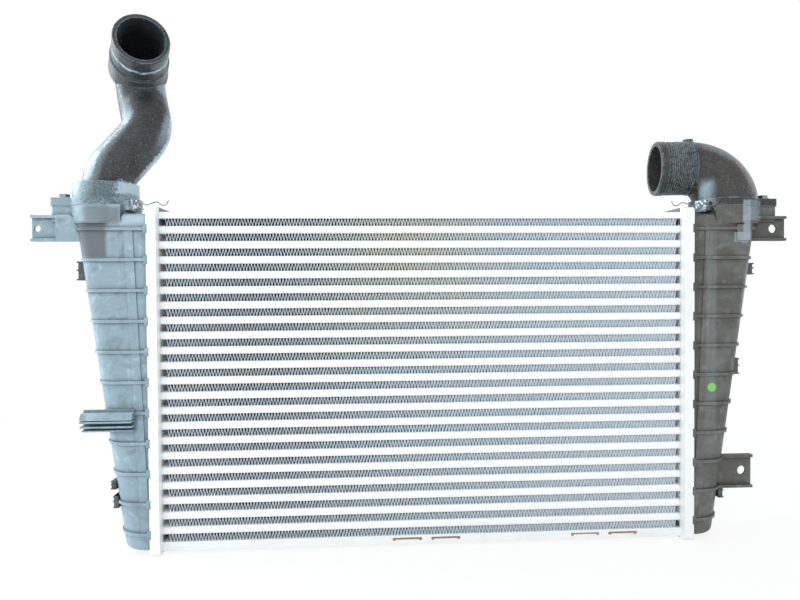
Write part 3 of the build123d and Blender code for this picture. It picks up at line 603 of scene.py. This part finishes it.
def painted_side_highlight(material, shade, *sides):
    """Paints a pale highlight on faces that look one way: (direction, low, high, centre, half size,
    strength).
    """
    layers = []
    for direction, low, high, centre, half_size, strength in sides:
        facing = place(material, shared("side_highlight_mask", side_group), Direction=direction, Low=low, High=high)
        patch = patch_mask(material, centre, half_size, Edge=0.8, Ragged=0.4)
        layers.append((maths(material.node_tree, "MULTIPLY", facing.outputs["Mask"], patch), strength, shade))
    repaint(material, layers)


def ring_highlights(material, shade, start, aim, *rings):
    """Paints ragged highlight rings behind start along the axis, each (distance, width, strength)."""
    repaint(material, [(place(material, shared("ring_mark", ring_group), Centre=tuple(start - aim * distance),
                              Aim=tuple(aim), Width=width).outputs["Mask"], strength, shade)
                       for distance, width, strength in rings])


def dress(material, *names):
    """Gives a material to solid parts, which keep their shape."""
    for name in names:
        mesh = NODES[name].data
        mesh.materials.clear()
        mesh.materials.append(material)


# ---- pieces made with geometry nodes --------------------------------------------------------

LEG_POINTS, SWAY_WAVES = 9, 2         # points along one leg, and its waves from face to face
RING_SIDES, SECTION_SIDES = 96, 8     # of a ring, and of its round section


def geometry_tree(name, inputs):
    """Geometry node group that takes and gives a geometry."""
    return new_group(name, "GeometryNodeTree", [("Geometry", "NodeSocketGeometry", None)] + inputs,
                     [("Geometry", "NodeSocketGeometry")])


def linked(name, data):
    """New object in the scene's collection."""
    piece = bpy.data.objects.new(name, data)
    bpy.context.scene.collection.objects.link(piece)
    return piece


def plain_copy(holder, name):
    """What an object looks like once evaluated, as a mesh of its own; the object goes."""
    view = bpy.context.evaluated_depsgraph_get()
    mesh = bpy.data.meshes.new_from_object(holder.evaluated_get(view), depsgraph=view)
    mesh.name = name
    bpy.data.objects.remove(holder)
    return mesh


def baked(name, tree, values, material):
    """Runs a geometry tree on an empty mesh and returns the result as a plain object."""
    holder = linked(name, bpy.data.meshes.new(name))
    modifier = holder.modifiers.new("Shape", "NODES")
    modifier.node_group = tree
    for socket in tree.interface.items_tree:
        if socket.in_out == "INPUT" and socket.name in values:
            modifier[socket.identifier] = values[socket.name]
    modifier[next(s.identifier for s in tree.interface.items_tree if s.name == "Material")] = material
    return linked(name, plain_copy(holder, name))


def finish_tree(tree, out, geometry, material_socket):
    """Ends a tree in real geometry with its material."""
    real = add(tree, "GeometryNodeRealizeInstances", {"Geometry": geometry})
    painted = add(tree, "GeometryNodeSetMaterial", {"Geometry": real.outputs[0], "Material": material_socket})
    tree.links.new(painted.outputs[0], out.inputs["Geometry"])


def fin_tree():
    """Zigzag strip: one swaying leg, set out along X and leaned to and fro."""
    tree, inside, out = geometry_tree("folded_fin_strip", [
        ("Centre", VECTOR, (0.0, 0.0, 0.0)), ("Length", FLOAT, 0.5),
        ("Depth", FLOAT, 0.05), ("Height", FLOAT, 0.008),
        ("Folds", "NodeSocketInt", 300), ("Sheet", FLOAT, 0.0003),
        ("Sway", FLOAT, 0.0015), ("Slack", FLOAT, 0.0001),
        ("Recess", FLOAT, 0.0005), ("Seed", "NodeSocketInt", 1),
        ("Material", "NodeSocketMaterial", None)])
    value = inside.outputs

    pitch = maths(tree, "DIVIDE", value["Length"], value["Folds"])
    lean = maths(tree, "ARCTANGENT", maths(tree, "DIVIDE", pitch, value["Height"]))
    slant = maths(tree, "DIVIDE", value["Height"], maths(tree, "COSINE", lean))

    leg = add(tree, "GeometryNodeMeshCube", {
        "Size": combined(tree, X=value["Sheet"], Y=value["Depth"], Z=slant), "Vertices Y": LEG_POINTS})
    along = axes_of(tree, tree.nodes.new("GeometryNodeInputPosition").outputs[0])["Y"]
    phase = maths(tree, "MULTIPLY", maths(tree, "DIVIDE", along, value["Depth"]), SWAY_WAVES * 2 * math.pi)
    side = maths(tree, "MULTIPLY", maths(tree, "COSINE", phase), value["Sway"])
    swayed = add(tree, "GeometryNodeSetPosition", {
        "Geometry": leg.outputs["Mesh"], "Offset": combined(tree, X=side)})

    gaps = maths(tree, "SUBTRACT", value["Folds"], 1.0)
    first = maths(tree, "MULTIPLY", maths(tree, "MULTIPLY", gaps, pitch), -0.5)
    line = add(tree, "GeometryNodeMeshLine", {
        "Count": value["Folds"], "Start Location": combined(tree, X=first),
        "Offset": combined(tree, X=pitch)})
    jitter = add(tree, "FunctionNodeRandomValue", {"Seed": value["Seed"]}, data_type="FLOAT_VECTOR")
    tree.links.new(combined(tree, X=maths(tree, "MULTIPLY", value["Slack"], -1.0)), jitter.inputs["Min"])
    tree.links.new(combined(tree, X=value["Slack"], Y=value["Recess"]), jitter.inputs["Max"])
    uneven = add(tree, "GeometryNodeSetPosition", {
        "Geometry": line.outputs["Mesh"], "Offset": jitter.outputs[0]})

    parity = maths(tree, "MODULO", tree.nodes.new("GeometryNodeInputIndex").outputs[0], 2.0)
    sign = maths(tree, "SUBTRACT", maths(tree, "MULTIPLY", parity, 2.0), 1.0)
    legs = add(tree, "GeometryNodeInstanceOnPoints", {
        "Points": uneven.outputs[0], "Instance": swayed.outputs[0],
        "Rotation": combined(tree, Y=maths(tree, "MULTIPLY", sign, lean))})
    placed = add(tree, "GeometryNodeTransform", {
        "Geometry": legs.outputs[0], "Translation": value["Centre"]})
    finish_tree(tree, out, placed.outputs[0], value["Material"])
    return tree


def ring_tree():
    """Rings in a row along an axis, such as the ridges of a hose seat."""
    tree, inside, out = geometry_tree("row_of_rings", [
        ("Start", VECTOR, (0.0, 0.0, 0.0)), ("Step", VECTOR, (0.0, 0.0, 0.001)),
        ("Turn", VECTOR, (0.0, 0.0, 0.0)), ("Count", "NodeSocketInt", 8),
        ("Radius", FLOAT, 0.03), ("Width", FLOAT, 0.001),
        ("Height", FLOAT, 0.0005), ("Material", "NodeSocketMaterial", None)])
    value = inside.outputs
    circle = add(tree, "GeometryNodeCurvePrimitiveCircle", {
        "Resolution": RING_SIDES, "Radius": value["Radius"]})
    section = add(tree, "GeometryNodeCurvePrimitiveCircle", {"Resolution": SECTION_SIDES, "Radius": 1.0})
    half = maths(tree, "MULTIPLY", value["Width"], 0.5)
    flat = add(tree, "GeometryNodeTransform", {"Geometry": section.outputs["Curve"],
                                               "Scale": combined(tree, X=value["Height"], Y=half, Z=1.0)})
    ring = add(tree, "GeometryNodeCurveToMesh", {"Curve": circle.outputs["Curve"],
                                                 "Profile Curve": flat.outputs[0], "Fill Caps": False})
    line = add(tree, "GeometryNodeMeshLine", {"Count": value["Count"], "Start Location": value["Start"],
                                              "Offset": value["Step"]})
    rings = add(tree, "GeometryNodeInstanceOnPoints", {
        "Points": line.outputs["Mesh"], "Instance": ring.outputs[0], "Rotation": value["Turn"]})
    finish_tree(tree, out, rings.outputs[0], value["Material"])
    return tree


# ---- small pieces on the tanks and plates -----------------------------------------------------

SLOT_X = (-0.022, 0.020, 0.1746, 0.217)      # middles of the lower plate's slots
SLOT_HALF, SLOT_UP = 0.0158, 0.0058          # half length of a painted-shade bar, and its middle above the plate's foot
SHADE_BAR_PROUD, SHADE_BAR_DEEP, BAR_HALF = 0.0004, 0.0014, 0.0007      # before the plate, depth, half height
END_INSET, END_HALF, END_DROP, END_PROUD = 0.0016, 0.0014, 0.0021, 0.0001     # its turned-down ends
EDGE_ROUND = 0.0003                          # rounding of a block's edges
WIRE_RADIUS, WIRE_DROP = 0.0005, 0.003       # the wires, and how far below their paths they hang
WIRE_PATHS = (
    [(0.3040, -0.031, 0.3690), (0.2975, -0.034, 0.3725), (0.2930, -0.034, 0.3680), (0.2885, -0.030, 0.3710),
     (0.2830, -0.027, 0.3735), (0.2785, -0.026, 0.3690), (0.2735, -0.026, 0.3700), (0.2715, -0.027, 0.3745)],
    [(0.3160, -0.036, 0.3640), (0.3120, -0.038, 0.3700), (0.3075, -0.038, 0.3655), (0.3035, -0.038, 0.3715),
     (0.2990, -0.036, 0.3650), (0.2945, -0.034, 0.3640)])
WALL_LOW, WALL_HIGH = (0.3262, 0.0025), (0.3680, 0.3465)      # tank's outer wall: (reach, height)
LUG_ROOT, LUG_BODY, RIB = 0.003, 0.8, 0.0015      # depth in the wall, body's share of the reach, rib
LUG_Y, RIB_STEP = (-0.021, -0.009), 0.001         # the lugs' depth, and how far their ribs pass it
LUG_SPOTS = (                                                 # (end, middle height, height, reach)
    (-1, 0.2980, 0.020, 0.0070), (-1, 0.0700, 0.009, 0.0030), (-1, 0.0520, 0.013, 0.0030),
    (1, 0.2970, 0.013, 0.0070), (1, 0.1880, 0.018, 0.0036), (1, 0.0480, 0.016, 0.0030))
SLAB_LIGHT = (                                                      # painted light on the pale upright face: (centre, half size, strength) of its areas
    ((0.3520, -0.03, 0.3400), (0.0040, 0.03, 0.0150), 0.75),
    ((0.3480, -0.03, 0.3315), (0.0085, 0.03, 0.0055), 0.8),
    ((0.3520, -0.03, 0.3610), (0.0045, 0.03, 0.0110), 0.75),
    ((0.3640, -0.03, 0.3610), (0.0110, 0.06, 0.0110), 0.45))


def slab_light_tints(shade):
    """Painted light on the pale upright face, laid on each piece that it crosses."""
    return [(centre, half_size, shade, strength, 0.10, 0.20, 160) for centre, half_size, strength in SLAB_LIGHT]


def mount(name):
    """Place and outward axis of a mount."""
    found = next(item for item in frame["record"]["mounts"] if item["name"] == name)
    return Vector(found["pos_m"]), Vector(found["axis"]).normalized()


def added(piece):
    """A small extra piece that rides on the body."""
    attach(piece, BODY)


def wires(name, paths, radius, material):
    """Round wires along smooth paths, as a plain mesh."""
    data = bpy.data.curves.new(name, "CURVE")
    data.dimensions = "3D"
    data.bevel_depth = radius
    data.bevel_resolution = 2
    data.resolution_u = 5
    data.use_fill_caps = True
    for path in paths:
        spline = data.splines.new("NURBS")
        spline.points.add(len(path) - 1)
        for point, spot in zip(spline.points, path):
            point.co = (*spot, 1.0)
        spline.order_u = 3
        spline.use_endpoint_u = True
    mesh = plain_copy(linked(name, data), name)
    bpy.data.curves.remove(data)
    mesh.materials.clear()
    mesh.materials.append(material)
    mesh.shade_smooth()
    return linked(name, mesh)


def plain_mesh(name, vertices, faces, material):
    """Object from corners and faces."""
    mesh = bpy.data.meshes.new(name)
    mesh.from_pydata(vertices, [], faces)
    mesh.materials.append(material)
    return linked(name, mesh)


def blocks(name, boxes, material):
    """Closed blocks with softened edges in one mesh: (low corner, high corner) of each."""
    shape = bmesh.new()
    for low, high in boxes:
        low, high = Vector(low), Vector(high)
        corners = bmesh.ops.create_cube(shape, size=1.0)["verts"]
        bmesh.ops.scale(shape, vec=high - low, verts=corners)
        bmesh.ops.translate(shape, vec=(low + high) / 2, verts=corners)
    bmesh.ops.bevel(shape, geom=shape.edges[:], offset=EDGE_ROUND, segments=2, affect="EDGES")
    mesh = bpy.data.meshes.new(name)
    shape.to_mesh(mesh)
    shape.free()
    mesh.materials.append(material)
    return linked(name, mesh)


def slot_shade_bar(x):
    """Dark brown bar of painted shade in one slot of the lower plate, with its two ends turned down."""
    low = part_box("side_plate_lower")[0]
    front, middle = low.y - SHADE_BAR_PROUD, low.z + SLOT_UP
    back = front + SHADE_BAR_DEEP
    yield (x - SLOT_HALF, front, middle - BAR_HALF), (x + SLOT_HALF, back, middle + BAR_HALF)
    for end in (x - SLOT_HALF + END_INSET, x + SLOT_HALF - END_INSET):
        yield ((end - END_HALF, front - END_PROUD, middle - END_DROP),
               (end + END_HALF, back - END_PROUD, middle))


def edge_lug(side, z, height, proud):
    """Small ribbed lug on a tank's outer wall; side is 1 at the outlet end and -1 at the inlet end."""
    share = (z - WALL_LOW[1]) / (WALL_HIGH[1] - WALL_LOW[1])
    wall = side * (WALL_LOW[0] + (WALL_HIGH[0] - WALL_LOW[0]) * share)
    root, tip = sorted((wall - side * LUG_ROOT, wall + side * LUG_BODY * proud))
    near, far = LUG_Y
    yield (root, near, z - height / 2), (tip, far, z + height / 2)
    root, tip = sorted((wall - side * LUG_ROOT, wall + side * proud))
    for rib in (z - height / 2, z, z + height / 2 - RIB):
        yield (root, near - RIB_STEP, rib), (tip, far + RIB_STEP, rib + RIB)


# ---- operators ------------------------------------------------------------------------------

class INTERCOOLER_OT_fins(bpy.types.Operator):
    """Folds the fin strips between the tubes"""
    bl_idname = "intercooler.fins"
    bl_label = "Folded fins"

    def execute(self, context):
        sizes, metals = settings().fins, settings().metals
        foil = fin_foil("fin_foil", metals.fin, metals.fin_depth_shade)
        tint(foil, ((-0.030, 0.0, 0.315), (0.070, 0.20, 0.065), metals.fin_stain, 0.7, 1.0, 0.2, 20))
        tree = fin_tree()
        for number, name in enumerate(FIN_STRIPS):
            low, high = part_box(name)
            extent = high - low
            strip = baked(name.replace("fin_strip", "folded_fins"), tree, {
                "Centre": tuple((low + high) / 2), "Length": extent.x, "Depth": extent.y - 2 * sizes.recess,
                "Height": extent.z, "Folds": sizes.folds, "Sheet": sizes.sheet, "Sway": sizes.sway,
                "Slack": sizes.slack, "Recess": sizes.recess, "Seed": sizes.seed + number}, foil)
            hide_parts(name)
            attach(strip, BODY)
        return {"FINISHED"}


class INTERCOOLER_OT_core_metal(bpy.types.Operator):
    """Finishes the tubes, side plates and header plates"""
    bl_idname = "intercooler.core_metal"
    bl_label = "Core metal"

    def execute(self, context):
        metals = settings().metals
        dress(brazed_aluminium("tube_metal", metals.tube, metals.flux_and_shade), *TUBES)
        dress(brazed_aluminium("side_plate_metal", metals.header, metals.flux_and_shade),
              "side_plate_lower", "side_plate_upper")
        dress(header_metal("header_metal", metals.header, metals.flux_and_shade),
              "header_plate_inlet", "header_plate_outlet")
        dress(brazed_aluminium("turbulator_metal", metals.fin, metals.flux_and_shade), "turbulators")
        return {"FINISHED"}


class INTERCOOLER_OT_tanks(bpy.types.Operator):
    """Finishes the two moulded end tanks and their brackets"""
    bl_idname = "intercooler.tanks"
    bl_label = "End tanks"

    def execute(self, context):
        plastics = settings().plastics
        # inlet tank and bracket: the black plastic painted as a lit copy, pale blue-grey
        inlet = moulded_plastic("inlet_tank_plastic", plastics.inlet_tank_lit, plastics.inlet_shade)
        # painted shade: two dark patches at the tank's upper outer corner by the bracket; painted highlight:
        # a pale patch by the clip
        tint(inlet, ((-0.3515, 0.0, 0.3300), (0.0175, 0.06, 0.0185), plastics.bare_and_shade, 0.9, 0.14, 0.12, 120),
             ((-0.3360, 0.0, 0.3560), (0.0190, 0.06, 0.0085), plastics.bare_and_shade, 0.6, 0.25, 0.50, 120),
             ((-0.3060, 0.0, 0.3570), (0.0120, 0.06, 0.0110), plastics.grazing_highlight, 0.7, 0.40, 1.20, 120))
        dress(inlet, "end_tank_inlet")
        bracket = moulded_plastic("inlet_bracket_plastic", plastics.inlet_tank_lit, plastics.inlet_shade)
        dress(bracket, "inlet_bracket")

        mottle = {"cloud_scale": 24.0, "cloud_range": (0.38, 0.62)}
        # outlet tank: the same plastic painted as a copy in less light, mid grey
        outlet = moulded_plastic("outlet_tank_plastic", plastics.outlet_tank_shaded, plastics.outlet_shade, **mottle)
        # painted light: the slab's pale areas on the outlet tank
        tint(outlet, *slab_light_tints(plastics.slab_light),
             # a lighter upright band down the outlet tank, and a darker one beside it
             ((0.3130, 0.0, 0.2300), (0.0060, 0.06, 0.1100), plastics.outlet_light, 0.5, 0.40, 0.80, 60),
             ((0.2960, 0.0, 0.2500), (0.0040, 0.06, 0.1100), plastics.outlet_shade, 0.6, 0.40, 0.60, 60))
        dress(outlet, "end_tank_outlet", "low_bracket")
        bracket = moulded_plastic("outlet_bracket_plastic", scaled(plastics.outlet_tank_shaded, 0.7),
                                  plastics.outlet_shade, **mottle)
        # painted light: the slab's pale areas on the outlet bracket
        tint(bracket, *slab_light_tints(plastics.slab_light))
        dress(bracket, "outlet_bracket")
        return {"FINISHED"}


class INTERCOOLER_OT_pipes(bpy.types.Operator):
    """Finishes the inlet pipe and the outlet elbow with its grooved hose seat"""
    bl_idname = "intercooler.pipes"
    bl_label = "Pipes"

    def execute(self, context):
        plastics = settings().plastics
        inlet = glossy_pipe_plastic("inlet_pipe_plastic", plastics.pipe, plastics.pipe_dark, plastics.grazing_highlight,
                                    0.8)
        # the collar painted in the inlet tank's lit colour, dark clouds on it, and a painted highlight on its
        # right
        tint(inlet,
             ((-0.3425, 0.0, 0.3730), (0.0900, 0.06, 0.0187), plastics.inlet_tank_lit, 0.92, 0.04, 0.06, 120),
             ((-0.3400, 0.0, 0.3810), (0.0150, 0.06, 0.0140), plastics.pipe_dark, 0.6, 0.60, 3.2, 520),
             ((-0.3160, 0.0, 0.3860), (0.0080, 0.06, 0.0060), plastics.grazing_highlight, 0.95, 0.40, 2.6, 300))
        # painted highlights: pale rims on the pipe's left and right edges where light grazes it
        painted_side_highlight(inlet, plastics.grazing_highlight,
             ((-0.45, -0.86, 0.25), 0.84, 0.93, (-0.400, 0.0, 0.420), (0.050, 0.09, 0.030), 0.5),
             ((-0.55, -0.78, 0.30), 0.93, 0.975, (-0.350, 0.0, 0.430), (0.055, 0.09, 0.036), 0.9),
             ((0.855, 0.11, -0.50), 0.95, 0.985, (-0.300, 0.0, 0.430), (0.050, 0.09, 0.030), 0.9),
             ((0.97, -0.20, -0.10), 0.88, 0.99, (-0.285, 0.0, 0.480), (0.030, 0.09, 0.040), 0.5),
             ((1.0, 0.06, -0.06), 0.965, 0.985, (-0.285, 0.0, 0.480), (0.030, 0.09, 0.040), 0.8))
        # painted highlights: two pale rings behind the spigot's mouth
        ring_highlights(inlet, plastics.grazing_highlight, *mount("inlet_spigot"),
                   (0.0010, 0.0030, 0.85), (0.0430, 0.0008, 0.6))
        dress(inlet, "inlet_pipe")

        elbow = glossy_pipe_plastic("elbow_plastic", plastics.elbow, plastics.pipe_dark, plastics.grazing_highlight,
                                    0.35)
        # painted light: the slab's pale areas where they cross the elbow
        tint(elbow, *slab_light_tints(plastics.slab_light))
        # painted highlights: a pale patch on the elbow's lower left foot and a faint one on its top
        painted_side_highlight(elbow, plastics.grazing_highlight,
             ((-0.75, -0.62, -0.20), 0.86, 0.98, (0.309, -0.02, 0.382), (0.009, 0.05, 0.011), 0.8),
             ((0.20, -0.60, 0.78), 0.90, 0.99, (0.330, -0.02, 0.410), (0.040, 0.06, 0.030), 0.2))
        dress(elbow, "outlet_elbow")
        self.groove_seat(elbow)
        return {"FINISHED"}

    def groove_seat(self, material):
        """Fine ridges round the elbow's hose seat, behind its plain end band."""
        hose = settings().hose
        middle, aim = mount("outlet_spigot")
        added(baked("hose_seat_ridges", ring_tree(), {
            "Start": tuple(middle - aim * hose.start), "Step": tuple(aim * -hose.pitch),
            "Turn": tuple(aim.to_track_quat("Z", "Y").to_euler()), "Count": hose.ridges,
            "Radius": hose.radius, "Width": hose.width, "Height": hose.height}, material))


class INTERCOOLER_OT_small_parts(bpy.types.Operator):
    """Finishes the screws, clips, seals, gaskets and the painted dot"""
    bl_idname = "intercooler.small_parts"
    bl_label = "Small parts"

    def execute(self, context):
        metals, plastics = settings().metals, settings().plastics
        dress(plated_steel("zinc_plate", metals.steel), "flange_screws", "spring_clips")
        dress(rubber("seal_rubber", plastics.rubber), "pipe_seals", "tank_gaskets")
        dress(painted_dot("mark_paint", plastics.mark), "inspection_mark")
        dark = moulded_plastic("lug_plastic", plastics.bare_and_shade, plastics.lug_dark)
        slot_shade_finish = rubber("slot_shade_rubber", plastics.insert)
        wire = plated_steel("wire_steel", metals.steel)
        for side, end in ((1, "outlet"), (-1, "inlet")):
            paths = [[(side * x, y, z - WIRE_DROP) for x, y, z in path] for path in WIRE_PATHS]
            added(wires(f"clip_wire_{end}", paths, WIRE_RADIUS, wire))
        # painted shade: dark brown bars in the lower plate's slots, where the channel behind lies in shade
        added(blocks("slot_shade_bars", [block for x in SLOT_X for block in slot_shade_bar(x)], slot_shade_finish))
        added(blocks("tank_edge_lugs", [block for spot in LUG_SPOTS for block in edge_lug(*spot)], dark))
        return {"FINISHED"}


# ---- stage ----------------------------------------------------------------------------------

FLOOR_GAP, FLOOR_REACH = 0.0005, 12.0                     # below the part, and half the floor's width
WHITE_FROM, WHITE_BEYOND, WHITE_NEAR = 0.45, 1.1, 0.86    # the floor's white grows with the distance
COOL, COOLER, RIGHT_SHARE = (0.9, 0.97, 1.0), (0.85, 0.95, 1.0), 0.15     # lamp colours, right rim's power


def seen_white(tree):
    """1 for the rays that should meet a white studio: the camera's, mirrored and passed ones."""
    path = tree.nodes.new("ShaderNodeLightPath")
    straight = maths(tree, "MAXIMUM", path.outputs["Is Camera Ray"], path.outputs["Is Transmission Ray"])
    return maths(tree, "MAXIMUM", straight, path.outputs["Is Glossy Ray"])


def stage_white(name):
    """Pale floor that takes a soft shadow and looks white behind the part."""
    material, tree, surface = new_material(name)
    surface.inputs["Base Color"].default_value = (0.86, 0.87, 0.88, 1.0)
    surface.inputs["Roughness"].default_value = 0.9
    surface.inputs["Specular IOR Level"].default_value = 0.1
    glow = add(tree, "ShaderNodeEmission", {"Color": (1.0, 1.0, 1.0, 1.0), "Strength": 1.0})
    distance = vectors(tree, "LENGTH", coordinates(material))
    far = add(tree, "ShaderNodeMapRange", {
        "Value": distance, "From Min": WHITE_FROM, "From Max": WHITE_BEYOND, "To Min": WHITE_NEAR,
        "To Max": 1.0}, interpolation_type="SMOOTHSTEP")
    white = maths(tree, "MULTIPLY", seen_white(tree), far.outputs["Result"])
    mixed = add(tree, "ShaderNodeMixShader", {0: white, 1: surface.outputs[0], 2: glow.outputs[0]})
    result = next(n for n in tree.nodes if n.bl_idname == "ShaderNodeOutputMaterial")
    tree.links.new(mixed.outputs[0], result.inputs["Surface"])
    return material


def soft_lamp(name, place_at, look_at, size, power, shade=(1.0, 1.0, 1.0)):
    """Large rectangular lamp turned towards a point."""
    data = bpy.data.lights.new(name, "AREA")
    data.shape = "RECTANGLE"
    data.size, data.size_y = size
    data.energy = power
    data.color = shade
    lamp = linked(name, data)
    lamp.location = place_at
    lamp.rotation_euler = (Vector(look_at) - Vector(place_at)).to_track_quat("-Z", "Y").to_euler()


class INTERCOOLER_OT_stage(bpy.types.Operator):
    """Sets the floor, the lamps, the world and the camera"""
    bl_idname = "intercooler.stage"
    bl_label = "Stage"

    def execute(self, context):
        stage = settings().stage
        scene = context.scene
        floor_z = CAD_BOX[0][2] - FLOOR_GAP
        corners = [(x * FLOOR_REACH, y * FLOOR_REACH, floor_z)
                   for x, y in ((-1, -1), (1, -1), (1, 1), (-1, 1))]
        plain_mesh("floor", corners, [(0, 1, 2, 3)], stage_white("floor_white"))

        soft_lamp("front_light", (-0.5, -2.2, 1.5), (0.0, 0.0, 0.2), (2.4, 1.8), stage.key)
        soft_lamp("left_light", (-2.0, -1.0, 0.9), (-0.3, 0.0, 0.25), (1.2, 1.8), stage.fill, COOL)
        soft_lamp("left_rim_light", (-1.60, 0.30, 1.00), (-0.32, 0.0, 0.42), (0.9, 1.7), stage.rim, COOLER)
        soft_lamp("right_rim_light", (1.50, 0.45, 0.45), (0.32, 0.0, 0.42), (0.45, 1.3),
                  RIGHT_SHARE * stage.rim, COOL)

        world = bpy.data.worlds.new("even_sky")
        world.use_nodes = True
        tree = world.node_tree
        tree.nodes.clear()
        strength = add(tree, "ShaderNodeMapRange", {"Value": seen_white(tree), "To Min": stage.world,
                                                    "To Max": 1.0})
        sky = add(tree, "ShaderNodeBackground", {"Color": (1.0, 1.0, 1.0, 1.0),
                                                 "Strength": strength.outputs["Result"]})
        result = tree.nodes.new("ShaderNodeOutputWorld")
        tree.links.new(sky.outputs[0], result.inputs["Surface"])
        scene.world = world
        scene.view_settings.view_transform = "Standard"

        data = bpy.data.cameras.new("front_camera")
        data.sensor_width = 36.0
        data.lens = stage.lens
        camera = linked("front_camera", data)
        camera.location = stage.eye
        camera.rotation_euler = stage.turn
        scene.camera = camera
        return {"FINISHED"}


class INTERCOOLER_PT_panel(bpy.types.Panel):
    """Settings and steps of the intercooler"""
    bl_idname = "INTERCOOLER_PT_panel"
    bl_label = "Intercooler"
    bl_space_type = "VIEW_3D"
    bl_region_type = "UI"
    bl_category = "Intercooler"

    def draw(self, context):
        layout = self.layout
        for title, group, steps in (
                ("Fins", settings().fins, ("intercooler.fins",)),
                ("Metals", settings().metals, ("intercooler.core_metal", "intercooler.small_parts")),
                ("Plastics", settings().plastics, ("intercooler.tanks",)),
                ("Hose seat", settings().hose, ("intercooler.pipes",)),
                ("Stage", settings().stage, ("intercooler.stage",))):
            box = layout.box()
            box.label(text=title)
            for name in group.__annotations__:
                box.prop(group, name)
            for step in steps:
                box.operator(step)


CLASSES = (FinSizes, MetalColours, PlasticColours, HoseSizes, StageSizes, IntercoolerSettings,
           INTERCOOLER_OT_fins, INTERCOOLER_OT_core_metal, INTERCOOLER_OT_tanks, INTERCOOLER_OT_pipes,
           INTERCOOLER_OT_small_parts, INTERCOOLER_OT_stage, INTERCOOLER_PT_panel)


def register():
    for item in CLASSES:
        bpy.utils.register_class(item)
    bpy.types.Scene.intercooler = PointerProperty(type=IntercoolerSettings)


def unregister():
    del bpy.types.Scene.intercooler
    for item in reversed(CLASSES):
        bpy.utils.unregister_class(item)


def main():
    register()
    bpy.ops.intercooler.core_metal()
    bpy.ops.intercooler.fins()
    bpy.ops.intercooler.tanks()
    bpy.ops.intercooler.pipes()
    bpy.ops.intercooler.small_parts()
    bpy.ops.intercooler.stage()


if __name__ == "__main__":
    main()
